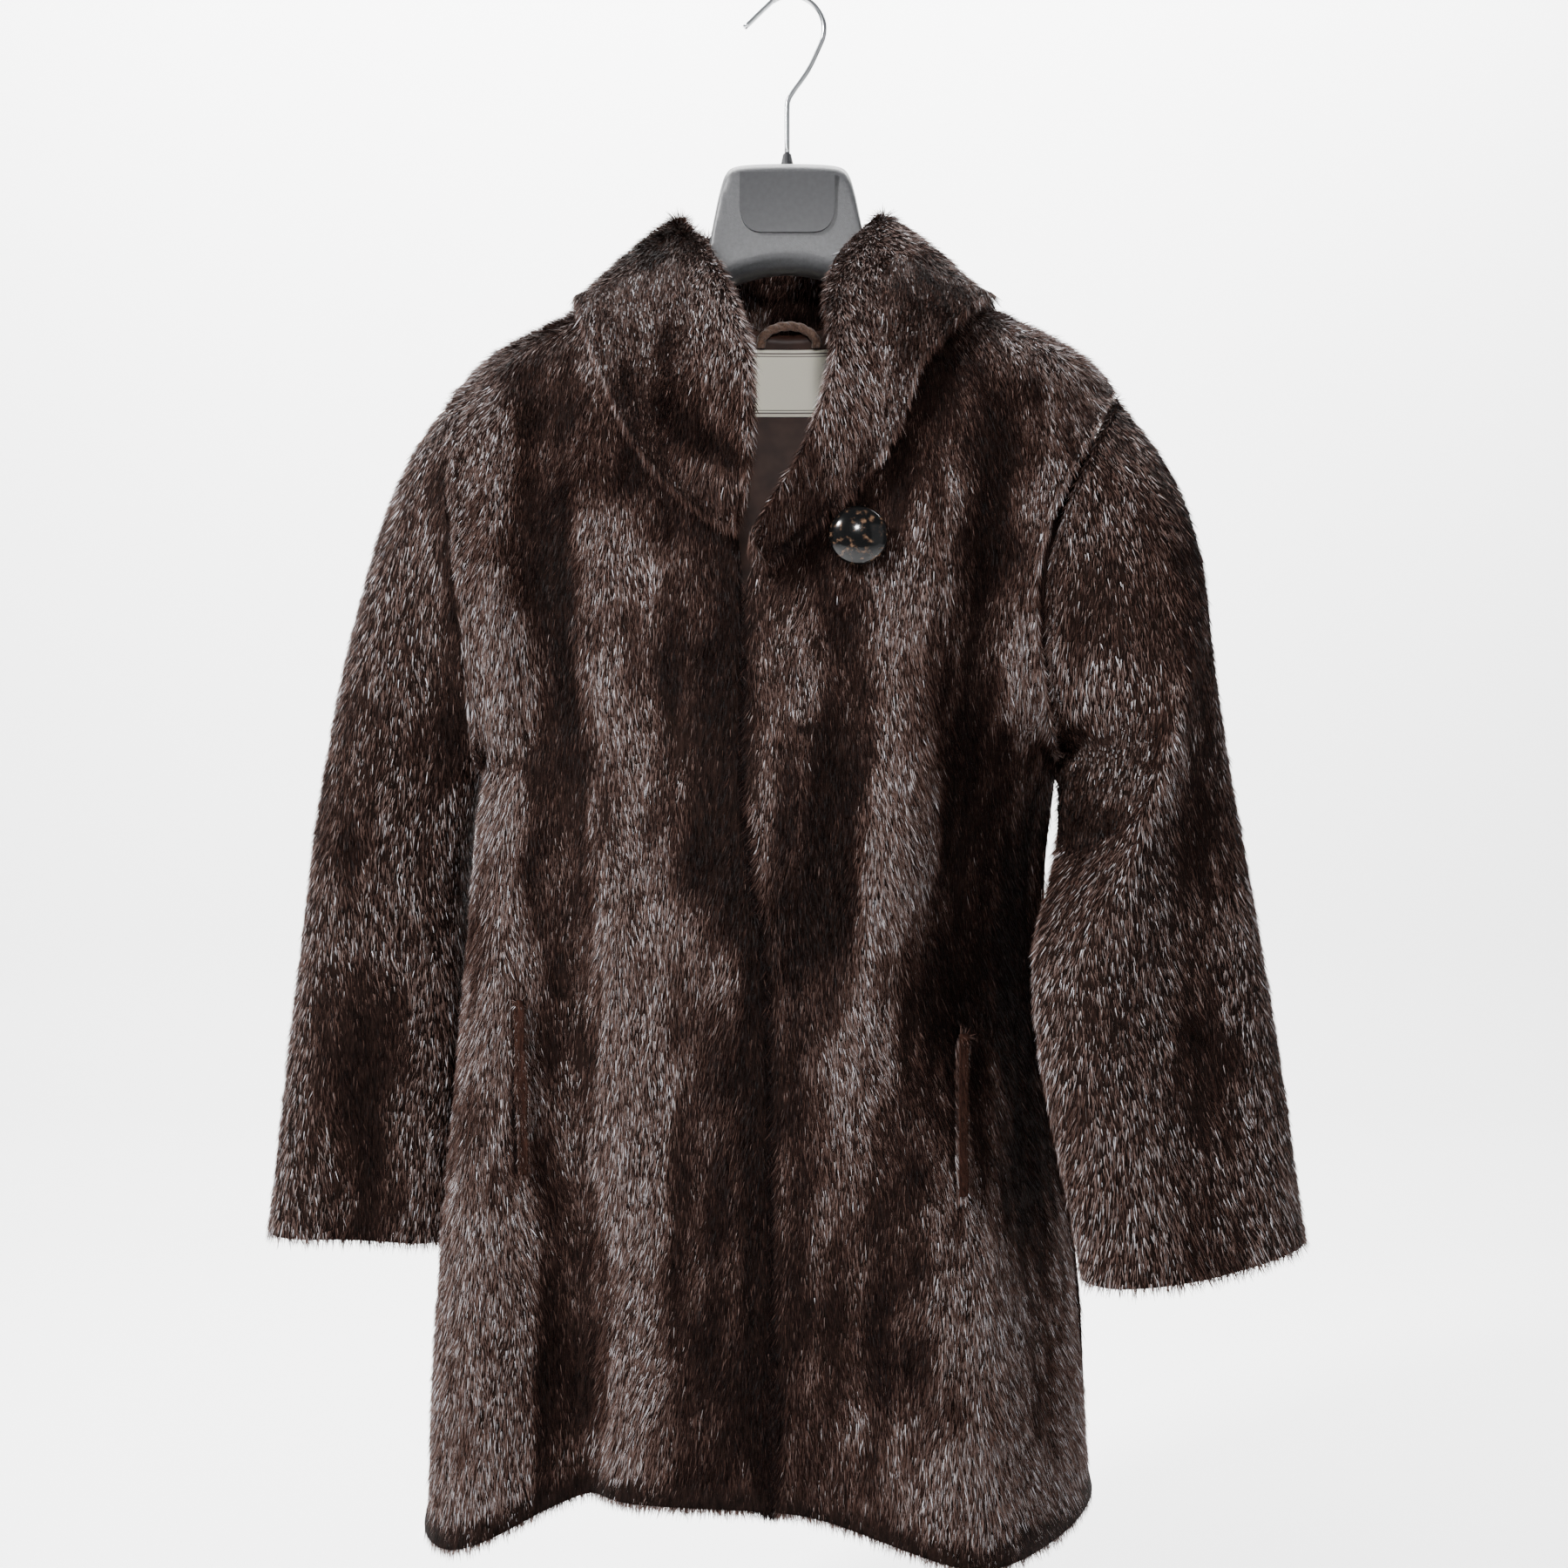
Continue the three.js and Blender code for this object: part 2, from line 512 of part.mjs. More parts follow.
// The collar: a stand and a fall pressed together, sewn round the neckline. Each station gives
// its seam and the fall's edge as places on the body, and the top of its roll
const COLLAR_LAYERS = 20 // stand and fall together
const COLLAR_CLEARANCE = 4 // the fur under the fall keeps it this far off the body
const collarStations = [
  { face: 'front', seamX: -31, seamZ: -347, rollX: -23, rollY: -106, rollZ: -338, edgeX: -27, edgeZ: -354 },
  { face: 'front', seamX: -36, seamZ: -337, rollX: -19, rollY: -104, rollZ: -312, edgeX: -46, edgeZ: -346 },
  { face: 'front', seamX: -42, seamZ: -320, rollX: -18, rollY: -98, rollZ: -282, edgeX: -68, edgeZ: -328 },
  { face: 'front', seamX: -51, seamZ: -284, rollX: -20, rollY: -86, rollZ: -248, edgeX: -90, edgeZ: -302 },
  { face: 'front', seamX: -58, seamZ: -244, rollX: -29, rollY: -68, rollZ: -214, edgeX: -108, edgeZ: -264 },
  { face: 'front', seamX: -63, seamZ: -206, rollX: -43, rollY: -46, rollZ: -180, edgeX: -121, edgeZ: -230 },
  { face: 'front', seamX: -65, seamZ: -184, rollX: -58, rollY: -26, rollZ: -157, edgeX: -126, edgeZ: -213 },
  { face: 'front', seamX: -65.5, seamZ: -176, rollX: -67, rollY: -10, rollZ: -144, edgeX: -129, edgeZ: -204 },
  { face: 'back', seamX: -64, seamZ: -175.5, rollX: -68, rollY: 10, rollZ: -140, edgeX: -127, edgeZ: -205 },
  { face: 'back', seamX: -60, seamZ: -179, rollX: -66, rollY: 24, rollZ: -139, edgeX: -122, edgeZ: -214 },
  { face: 'back', seamX: -54, seamZ: -184, rollX: -62, rollY: 38, rollZ: -139, edgeX: -112, edgeZ: -229 },
  { face: 'back', seamX: -32, seamZ: -198, rollX: -38, rollY: 58, rollZ: -141, edgeX: -72, edgeZ: -243 },
  { face: 'back', seamX: 0, seamZ: -203, rollX: 0, rollY: 66, rollZ: -142, edgeX: 0, edgeZ: -248 },
  { face: 'back', seamX: 32, seamZ: -198, rollX: 37, rollY: 58, rollZ: -141, edgeX: 72, edgeZ: -243 },
  { face: 'back', seamX: 54, seamZ: -184, rollX: 58, rollY: 38, rollZ: -139, edgeX: 110, edgeZ: -229 },
  { face: 'back', seamX: 60, seamZ: -179, rollX: 61, rollY: 24, rollZ: -138, edgeX: 119, edgeZ: -214 },
  { face: 'back', seamX: 64, seamZ: -175.5, rollX: 62, rollY: 10, rollZ: -138, edgeX: 126, edgeZ: -205 },
  { face: 'front', seamX: 65.5, seamZ: -176, rollX: 58, rollY: -10, rollZ: -141, edgeX: 125, edgeZ: -203 },
  { face: 'front', seamX: 65, seamZ: -184, rollX: 47, rollY: -26, rollZ: -156, edgeX: 115, edgeZ: -212 },
  { face: 'front', seamX: 63, seamZ: -206, rollX: 29, rollY: -44, rollZ: -180, edgeX: 99, edgeZ: -228 },
  { face: 'front', seamX: 57, seamZ: -240, rollX: 22, rollY: -66, rollZ: -212, edgeX: 79, edgeZ: -252 },
  { face: 'front', seamX: 44, seamZ: -280, rollX: 25, rollY: -86, rollZ: -248, edgeX: 69, edgeZ: -282 },
  { face: 'front', seamX: 30, seamZ: -311, rollX: 16, rollY: -98, rollZ: -284, edgeX: 57, edgeZ: -306 },
  { face: 'front', seamX: 11, seamZ: -338, rollX: 3, rollY: -106, rollZ: -316, edgeX: 32, edgeZ: -336 },
  { face: 'front', seamX: -10, seamZ: -355, rollX: -13, rollY: -110, rollZ: -342, edgeX: 5, edgeZ: -360 },
  { face: 'front', seamX: -22, seamZ: -372, rollX: -23, rollY: -111, rollZ: -364, edgeX: -15, edgeZ: -378 },
]
const COLLAR_STEPS = 50

// A point on the outside of the body with the direction that faces away from it
function bodySpot(face, x, z) {
  const reach = edgeReach(face, x, z)
  const onX = clamp(x, -reach, reach)
  const inwards = onX > 0 ? -4 : 4
  const onBody = bodyPoint(face, onX, z)
  const aside = bodyPoint(face, onX + inwards, z)
  const below = bodyPoint(face, onX + inwards, z - 4)
  const beside = bodyPoint(face, onX + 2 * inwards, z)
  const away = beside.sub(aside).cross(below.sub(aside)).normalize()
  if (away.dot(bodyOutward(onBody)) < 0) away.negate()
  return { onBody, away }
}

// The ends of the collar lie on the fronts: only between them is its foot tucked behind the seam
function collarSection({ face, seamX, seamZ, rollX, rollY, rollZ, edgeX, edgeZ }, index) {
  const tuck = index === 0 || index === collarStations.length - 1 ? 0 : 1
  const seam = bodySpot(face, seamX, seamZ)
  const edge = bodySpot(face, edgeX, edgeZ)
  const between = bodySpot(face, (seamX + edgeX) / 2, (seamZ + edgeZ) / 2)
  const roll = new THREE.Vector3(rollX, rollY, rollZ)
  const up = roll.clone().sub(seam.onBody).normalize()
  const fall = edge.onBody.clone().sub(roll).normalize()
  const away = new THREE.Vector3(seam.onBody.x, 1.2 * seam.onBody.y, 0).normalize()
  const fallAway = away.clone().add(edge.away).normalize()
  const layer = COLLAR_LAYERS / 2
  const place = (point, ...moves) => moves.reduce((sum, [way, by]) => sum.addScaledVector(way, by), point.clone())
  const stand = seam.onBody.clone().lerp(roll, 0.5)
  return [
    place(seam.onBody, [up, 1.5], [away, -0.7 * layer * tuck]),
    place(stand, [away, -0.8 * layer * tuck]),
    place(roll, [away, -0.6 * layer]),
    place(roll, [up, 0.5 * layer], [away, 0.1 * layer]),
    place(roll, [away, layer]),
    place(roll.clone().lerp(edge.onBody, 0.35), [fallAway, 1.05 * layer]),
    place(roll.clone().lerp(edge.onBody, 0.7), [fallAway, 1.05 * layer]),
    place(edge.onBody, [edge.away, 0.85 * layer]),
    place(edge.onBody, [edge.away, 0.5 * layer], [fall, 0.4 * layer]),
    place(edge.onBody, [edge.away, COLLAR_CLEARANCE]),
    place(between.onBody, [between.away, COLLAR_CLEARANCE]),
    place(seam.onBody, [up, 1.5], [seam.away, COLLAR_CLEARANCE]),
  ]
}

// A closed solid through rings of points, with both its ends shut
function ringSolid(rings) {
  const triangles = []
  const count = rings[0].length
  for (let r = 0; r < rings.length - 1; r++) {
    for (let i = 0; i < count; i++) {
      const n = (i + 1) % count
      addQuad(triangles, rings[r][i], rings[r + 1][i], rings[r + 1][n], rings[r][n])
    }
  }
  const ends = [rings[0], [...rings[rings.length - 1]].reverse()]
  for (const ring of ends) {
    const middle = ring.reduce((sum, point) => sum.add(point), new THREE.Vector3()).divideScalar(count)
    for (let i = 0; i < count; i++) triangles.push([middle, ring[i], ring[(i + 1) % count]])
  }
  return closedGeometry(triangles)
}

const collarSections = collarStations.map(collarSection)
const collarLines = collarSections[0].map(
  (_, i) => new THREE.CatmullRomCurve3(collarSections.map((section) => section[i]), false, 'centripetal')
)
const collarRings = Array.from({ length: COLLAR_STEPS + 1 }, (_, step) =>
  collarLines.map((line) => line.getPoint(step / COLLAR_STEPS))
)
addPiece('collar', ringSolid(collarRings), colours.fur)

// The part of the satin lining that shows in the neck: it lies on the back's inner points
const LINING_COLUMNS = { from: 8, to: 14 }
const LINING_ROWS = { from: 0, to: 8 }
const insideOfBack = (gap) =>
  walls.back.inner
    .slice(LINING_ROWS.from, LINING_ROWS.to + 1)
    .map((row, r) =>
      row
        .slice(LINING_COLUMNS.from, LINING_COLUMNS.to + 1)
        .map((point, c) =>
          point.clone().addScaledVector(walls.back.normals[r + LINING_ROWS.from][c + LINING_COLUMNS.from], -gap)
        )
    )
const lining = { outer: insideOfBack(SEAM_GAP), inner: insideOfBack(SEAM_GAP + LINING_THICKNESS) }
addPiece('lining_back', wallGeometry(lining.outer, lining.inner), colours.lining, 0.4)

// The point of a grid at an x and a z, read between the corners of the cell that holds it
function gridSpot(grid, x, z) {
  let best = null
  for (let r = 0; r < grid.length - 1; r++) {
    for (let c = 0; c < grid[r].length - 1; c++) {
      const corners = [grid[r][c], grid[r][c + 1], grid[r + 1][c], grid[r + 1][c + 1]]
      let across = 0.5
      let down = 0.5
      for (let pass = 0; pass < 4; pass++) {
        const left = corners[0].clone().lerp(corners[2], down)
        const right = corners[1].clone().lerp(corners[3], down)
        across = (x - left.x) / (right.x - left.x)
        const top = corners[0].clone().lerp(corners[1], across)
        const bottom = corners[2].clone().lerp(corners[3], across)
        down = (z - top.z) / (bottom.z - top.z)
        if (Math.max(Math.abs(across - 0.5), Math.abs(down - 0.5)) <= 0.501) best = top.lerp(bottom, down)
      }
    }
  }
  return best
}

// The woven label, sewn on the lining under the hanging loop
const LABEL = { left: -35, right: 41, top: -214, bottom: -257, thickness: 0.8, gap: 0.7 }
const labelFace = (gap) =>
  Array.from({ length: 5 }, (_, r) =>
    Array.from({ length: 9 }, (_, c) => {
      const x = mix(LABEL.left, LABEL.right, c / 8)
      const z = mix(LABEL.top, LABEL.bottom, r / 4)
      return gridSpot(lining.inner, x, z).add(new THREE.Vector3(0, -gap, 0))
    })
  )
const label = { outer: labelFace(LABEL.gap), inner: labelFace(LABEL.gap + LABEL.thickness) }
addPiece('label', wallGeometry(label.outer, label.inner), colours.label, 0.5)

// The twisted hanging loop, sewn in at both ends where the collar meets the lining
const loopRoute = [
  [-17.5, 49.0, -213.2],
  [-17.4, 48.2, -210.4],
  [-16.6, 47.4, -207.6],
  [-14.8, 46.8, -205.1],
  [-12.0, 46.6, -203.0],
  [-8.6, 46.7, -201.2],
  [-4.9, 46.9, -199.9],
  [-1.0, 47.0, -199.3],
  [3.0, 47.0, -199.3],
  [6.9, 46.9, -199.9],
  [10.6, 46.7, -201.1],
  [14.0, 46.6, -202.9],
  [16.8, 46.7, -205.0],
  [18.7, 47.3, -207.5],
  [19.6, 48.1, -210.3],
  [19.8, 48.9, -213.2],
]
function roundSection(radius, sides) {
  const outline = new THREE.Shape()
  for (let i = 0; i < sides; i++) {
    const angle = (2 * Math.PI * i) / sides
    const point = [radius * Math.cos(angle), radius * Math.sin(angle)]
    if (i === 0) outline.moveTo(...point)
    else outline.lineTo(...point)
  }
  outline.closePath()
  return outline
}
function tubeAlong(points, radius, sides, steps) {
  const path = new THREE.CatmullRomCurve3(points.map(([x, y, z]) => new THREE.Vector3(x, y, z)), false, 'centripetal')
  return new THREE.ExtrudeGeometry(roundSection(radius, sides), { extrudePath: path, steps })
}
addPiece('hanging_loop', tubeAlong(loopRoute, LOOP_DIAMETER / 2, 10, 18), colours.cord)

// The big domed button, on the left front beside the collar's end
const BUTTON = { x: 42, z: -358, thickness: 9.5, rim: 3 }
const buttonProfile = [
  [0, 0],
  [0.8, 0],
  [0.97, 0.16],
  [1, BUTTON.rim / BUTTON.thickness],
  [0.95, 0.48],
  [0.82, 0.66],
  [0.6, 0.84],
  [0.32, 0.96],
  [0, 1],
].map(([across, high]) => new THREE.Vector2((across * BUTTON_DIAMETER) / 2, high * BUTTON.thickness))
const button = new THREE.LatheGeometry(buttonProfile, 24).rotateX(Math.PI)
const underButton = Array.from({ length: 48 }, (_, i) => {
  const reach = (BUTTON_DIAMETER / 2) * (i % 2 === 0 ? 0.5 : 0.8)
  const angle = (2 * Math.PI * i) / 48
  return gridSpot(walls.left.outer, BUTTON.x + reach * Math.cos(angle), BUTTON.z + reach * Math.sin(angle)).y
})
button.translate(BUTTON.x, Math.min(...underButton) - SEAM_GAP, BUTTON.z)
addPiece('button', button, colours.button, 0.1)

// The welts of the two slit pockets: narrow strips that lie on the fronts' points
const POCKET = { width: 6, thickness: 2.5, gap: 0.8 }
const pockets = [
  { name: 'pocket_welt_right', wall: 'right', topX: -163, topZ: -636, endX: -159, endZ: -741 },
  { name: 'pocket_welt_left', wall: 'left', topX: 107, topZ: -656, endX: 104, endZ: -748 },
]
for (const { name, wall, topX, topZ, endX, endZ } of pockets) {
  const stripSide = (gap) =>
    Array.from({ length: 9 }, (_, r) =>
      [-0.5, 0, 0.5].map((side) => {
        const x = mix(topX, endX, r / 8) + side * POCKET.width
        return gridSpot(walls[wall].outer, x, mix(topZ, endZ, r / 8)).add(new THREE.Vector3(0, -gap, 0))
      })
    )
  const strip = wallGeometry(stripSide(POCKET.gap + POCKET.thickness), stripSide(POCKET.gap))
  addPiece(name, strip, colours.fur)
}

// The hanger: a moulded yoke with a shoulder arm on each side. Stations of one half, from the
// middle out, give its top, underside and thickness
const ARM_DROP = 11.8 // from the shoulder seam's outside down to the top of the arm
const armTop = (x) => backTop(x) - ARM_DROP
const hangerStations = [
  { x: 0, top: YOKE_TOP_Z, bottom: -176, thick: YOKE_THICKNESS },
  { x: 20, top: YOKE_TOP_Z - 0.3, bottom: -179, thick: YOKE_THICKNESS },
  { x: 34, top: YOKE_TOP_Z - 1.5, bottom: -184, thick: YOKE_THICKNESS },
  { x: 39, top: YOKE_TOP_Z - 5, bottom: -187, thick: YOKE_THICKNESS },
  { x: 43, top: YOKE_TOP_Z - 16, bottom: -190, thick: YOKE_THICKNESS },
  { x: 48, top: -150, bottom: -193, thick: YOKE_THICKNESS },
  { x: 51, top: -168, bottom: -195, thick: YOKE_THICKNESS },
  { x: 57, top: -181, bottom: -201, thick: 33 },
  { x: 70, top: armTop(70), bottom: -210, thick: 29 },
  { x: 100, top: armTop(100), bottom: -226, thick: 28 },
  { x: 125, top: armTop(125), bottom: -240, thick: 28 },
  { x: 150, top: armTop(150), bottom: -253, thick: 28 },
  { x: 170, top: armTop(170) - 1, bottom: -261, thick: 27 },
  { x: 182, top: armTop(182) - 5, bottom: -263, thick: 24 },
  { x: 186, top: armTop(186) - 10, bottom: -261, thick: 16 },
]
const hangerRounding = { across: 13.5, high: 12, points: 4 }

function hangerRing({ x, top, bottom, thick }) {
  const across = Math.min(hangerRounding.across, thick / 2 - 0.5)
  const high = Math.min(hangerRounding.high, (top - bottom) / 2 - 1)
  const ring = []
  for (const [sideY, sideZ] of [[1, 1], [-1, 1], [-1, -1], [1, -1]]) {
    for (let i = 0; i < hangerRounding.points; i++) {
      const share = i / (hangerRounding.points - 1)
      const angle = (Math.PI / 2) * (sideY * sideZ > 0 ? share : 1 - share)
      const y = sideY * (thick / 2 - across + across * Math.cos(angle))
      const corner = sideZ > 0 ? top - high : bottom + high
      ring.push(new THREE.Vector3(x, y, corner + sideZ * high * Math.sin(angle)))
    }
  }
  return ring
}
const otherHalf = hangerStations.slice(1).reverse().map((station) => ({ ...station, x: -station.x }))
addPiece('hanger', ringSolid([...otherHalf, ...hangerStations].map(hangerRing)), colours.plastic, 0.6)

// The bare plaque on the front of the yoke, with a round foot
const PLAQUE = { halfWidth: 30, top: -118, straight: -138, bottom: -156, thickness: 1.6 }
const plaqueOutline = new THREE.Shape()
plaqueOutline.moveTo(-PLAQUE.halfWidth, PLAQUE.top)
plaqueOutline.lineTo(PLAQUE.halfWidth, PLAQUE.top)
plaqueOutline.lineTo(PLAQUE.halfWidth, PLAQUE.straight)
const plaqueFoot = [PLAQUE.halfWidth, PLAQUE.bottom, 16, PLAQUE.bottom]
plaqueOutline.quadraticCurveTo(...plaqueFoot)
plaqueOutline.lineTo(-16, PLAQUE.bottom)
plaqueOutline.quadraticCurveTo(-PLAQUE.halfWidth, PLAQUE.bottom, -PLAQUE.halfWidth, PLAQUE.straight)
const plaque = new THREE.ExtrudeGeometry(plaqueOutline, { depth: PLAQUE.thickness, bevelEnabled: false, curveSegments: 6 })
plaque.rotateX(Math.PI / 2).translate(0, -YOKE_THICKNESS / 2 - SEAM_GAP, 0)
addPiece('hanger_plaque', plaque, colours.plaque, 0.5)

// The ferrule where the hook's wire goes into the yoke
const FERRULE = { bottomRadius: 4, topRadius: 2.7, height: 7.4 }
const ferruleProfile = [
  [0, 0],
  [FERRULE.bottomRadius, 0],
  [FERRULE.bottomRadius, 1.5],
  [FERRULE.topRadius, FERRULE.height],
  [0, FERRULE.height],
].map(([across, high]) => new THREE.Vector2(across, high))
const ferrule = new THREE.LatheGeometry(ferruleProfile, 16).rotateX(Math.PI / 2)
ferrule.translate(0, 0, YOKE_TOP_Z + SEAM_GAP)
addPiece('hook_ferrule', ferrule, colours.plastic, 0.5)

// The hook: steel wire bent round the rail, then cranked back over the middle of the yoke
const hookCentre = { x: 2.5, z: WIRE_DIAMETER / 2 - HOOK_RADIUS }
const hookArc = { from: 132, to: -26, points: 14 } // degrees
const hookPoints = [[-27.5, 0, -19]]
for (let i = 0; i <= hookArc.points; i++) {
  const angle = THREE.MathUtils.degToRad(mix(hookArc.from, hookArc.to, i / hookArc.points))
  hookPoints.push([hookCentre.x + HOOK_RADIUS * Math.cos(angle), 0, hookCentre.z + HOOK_RADIUS * Math.sin(angle)])
}
const ferruleTop = YOKE_TOP_Z + FERRULE.height + 2 * SEAM_GAP
hookPoints.push([13.5, 0, -46], [3.4, 0, -60.5], [0.6, 0, -66], [0, 0, -72], [0, 0, ferruleTop])
addPiece('hook', tubeAlong(hookPoints, WIRE_DIAMETER / 2, 8, 40), colours.steel, 0.25, 1)

export default coat
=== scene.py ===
import math

import bmesh
import bpy
import numpy as np
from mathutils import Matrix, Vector
from mathutils.kdtree import KDTree


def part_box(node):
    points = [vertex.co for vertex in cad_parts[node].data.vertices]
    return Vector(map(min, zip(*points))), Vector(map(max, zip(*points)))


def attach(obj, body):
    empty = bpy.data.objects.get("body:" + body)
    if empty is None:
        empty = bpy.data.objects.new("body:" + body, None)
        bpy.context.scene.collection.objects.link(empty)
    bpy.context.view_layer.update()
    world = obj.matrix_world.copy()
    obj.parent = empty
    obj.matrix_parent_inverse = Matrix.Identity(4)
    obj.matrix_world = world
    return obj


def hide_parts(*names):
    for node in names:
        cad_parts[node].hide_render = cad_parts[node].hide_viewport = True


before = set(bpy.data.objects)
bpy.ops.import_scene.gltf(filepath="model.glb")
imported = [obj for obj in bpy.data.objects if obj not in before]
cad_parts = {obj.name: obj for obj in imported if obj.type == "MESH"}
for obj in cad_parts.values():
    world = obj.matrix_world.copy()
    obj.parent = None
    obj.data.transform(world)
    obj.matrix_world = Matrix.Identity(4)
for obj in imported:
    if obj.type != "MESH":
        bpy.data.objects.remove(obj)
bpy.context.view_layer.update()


# The coat is seen from 1.2 m in front of it, level with its middle. Behind it a pale sheet sweeps
# up from the floor. One clear lamp from the upper left makes the hairs glint, with soft light round it.
def lamp(name, place, aim, width, height, watts):
    light = bpy.data.lights.new(name, "AREA")
    light.shape = "RECTANGLE"
    light.size = width
    light.size_y = height
    light.energy = watts
    stand = bpy.data.objects.new(name, light)
    stand.location = place
    stand.rotation_euler = (Vector(aim) - Vector(place)).to_track_quat("-Z", "Y").to_euler()
    bpy.context.scene.collection.objects.link(stand)


view = bpy.data.cameras.new("view")
view.lens = 42.86
view.sensor_width = 36
camera = bpy.data.objects.new("camera", view)
camera.location = (-0.002, -1.2, -0.505)
camera.rotation_euler = (math.radians(90), 0, 0)
bpy.context.scene.collection.objects.link(camera)
bpy.context.scene.camera = camera

lamp("key_lamp", (-1.7, -1.5, 1.0), (0, 0, -0.5), 0.25, 0.25, 190)
lamp("fill_lamp", (1.6, -1.5, -0.1), (0, 0, -0.5), 1.6, 1.6, 4)
lamp("neck_lamp", (0.03, -0.75, -0.12), (0.0, 0.05, -0.235), 0.06, 0.06, 3.6)
lamp("back_lamp", (0, 0.75, 1.5), (0, 1.7, -0.5), 3.2, 0.6, 230)
lamp("floor_lamp", (0, 0.5, 1.2), (0, 1.2, -1.2), 3.2, 0.6, 60)

sky = bpy.data.worlds.new("sky")
sky.use_nodes = True
sky.node_tree.nodes["Background"].inputs["Color"].default_value = (0.92, 0.96, 1.0, 1)
sky.node_tree.nodes["Background"].inputs["Strength"].default_value = 0.22
bpy.context.scene.world = sky

SWEEP = [(-2.6, -1.2), (1.2, -1.2), (1.45, -1.15), (1.62, -1.0), (1.7, -0.75), (1.7, 1.6)]
sheet = bmesh.new()
corners = [sheet.verts.new((-3.5, y, z)) for y, z in SWEEP]
profile = [sheet.edges.new(pair) for pair in zip(corners, corners[1:])]
pulled = bmesh.ops.extrude_edge_only(sheet, edges=profile)["geom"]
bmesh.ops.translate(sheet, verts=[v for v in pulled if isinstance(v, bmesh.types.BMVert)], vec=(7, 0, 0))
for face in sheet.faces:
    face.smooth = True
backdrop_mesh = bpy.data.meshes.new("backdrop")
sheet.to_mesh(backdrop_mesh)
backdrop = bpy.data.objects.new("backdrop", backdrop_mesh)
bpy.context.scene.collection.objects.link(backdrop)
pale = bpy.data.materials.new("pale sheet")
pale.use_nodes = True
pale.node_tree.nodes["Principled BSDF"].inputs["Base Color"].default_value = (0.97, 0.97, 0.97, 1)
pale.node_tree.nodes["Principled BSDF"].inputs["Roughness"].default_value = 0.9
backdrop_mesh.materials.append(pale)


# The hanging loop is brown cord of three twisted strands, 6.5 mm thick. Both its ends are sewn
# into the lining above the label, and it stands up in an arch between them.
LOOP_ROUTE = [
    (-17.5, 49.0, -213.2), (-17.4, 48.2, -210.4), (-16.6, 47.4, -207.6), (-14.8, 46.8, -205.1),
    (-12.0, 46.6, -203.0), (-8.6, 46.7, -201.2), (-4.9, 46.9, -199.9), (-1.0, 47.0, -199.3),
    (3.0, 47.0, -199.3), (6.9, 46.9, -199.9), (10.6, 46.7, -201.1), (14.0, 46.6, -202.9),
    (16.8, 46.7, -205.0), (18.7, 47.3, -207.5), (19.6, 48.1, -210.3), (19.8, 48.9, -213.2),
]
LOOP_RADIUS = 0.00325


def new_piece(name, mesh, *materials):
    for finish in materials:
        mesh.materials.append(finish)
    piece = bpy.data.objects.new(name, mesh)
    bpy.context.scene.collection.objects.link(piece)
    return piece


def smooth_route(points, parts):
    # Catmull-Rom between the points, in metres
    points = np.array(points, float) / 1000
    padded = np.vstack([2 * points[0] - points[1], points, 2 * points[-1] - points[-2]])
    route = []
    for a, b, c, d in zip(padded, padded[1:], padded[2:], padded[3:]):
        for t in np.arange(parts) / parts:
            straight = 2 * b + (c - a) * t
            bent = (2 * a - 5 * b + 4 * c - d) * t**2 + (3 * b - a - 3 * c + d) * t**3
            route.append(0.5 * (straight + bent))
    return [tuple(p) for p in route] + [tuple(points[-1])]


def swept(name, route, section, turn=0.0):
    # A closed tube of a section, in metres, along a route, turned by turn radians per metre
    shape = bpy.data.curves.new(name + "_section", "CURVE")
    ring = shape.splines.new("POLY")
    ring.points.add(len(section) - 1)
    for point, (x, y) in zip(ring.points, section):
        point.co = (x, y, 0, 1)
    ring.use_cyclic_u = True
    section_object = bpy.data.objects.new(name + "_section", shape)
    bpy.context.scene.collection.objects.link(section_object)
    line = bpy.data.curves.new(name + "_line", "CURVE")
    line.dimensions = "3D"
    line.twist_mode = "MINIMUM"
    line.bevel_mode = "OBJECT"
    line.bevel_object = section_object
    line.use_fill_caps = True
    spline = line.splines.new("POLY")
    spline.points.add(len(route) - 1)
    gone = 0.0
    for i, (point, place) in enumerate(zip(spline.points, route)):
        gone += math.dist(place, route[max(i - 1, 0)])
        point.co = (*place, 1)
        point.tilt = turn * gone
    line_object = bpy.data.objects.new(name + "_line", line)
    bpy.context.scene.collection.objects.link(line_object)
    bpy.context.view_layer.update()
    finished = line_object.evaluated_get(bpy.context.evaluated_depsgraph_get())
    mesh = bpy.data.meshes.new_from_object(finished)
    mesh.name = name
    bpy.data.objects.remove(line_object)
    bpy.data.objects.remove(section_object)
    tube = bmesh.new()
    tube.from_mesh(mesh)
    bmesh.ops.remove_doubles(tube, verts=tube.verts, dist=1e-6)
    bmesh.ops.recalc_face_normals(tube, faces=tube.faces)
    for face in tube.faces:
        face.smooth = len(face.verts) == 4
    tube.to_mesh(mesh)
    mesh.materials.clear()
    return mesh


def circle(radius, sides):
    turns = [2 * math.pi * i / sides for i in range(sides)]
    return [(radius * math.cos(turn), radius * math.sin(turn)) for turn in turns]


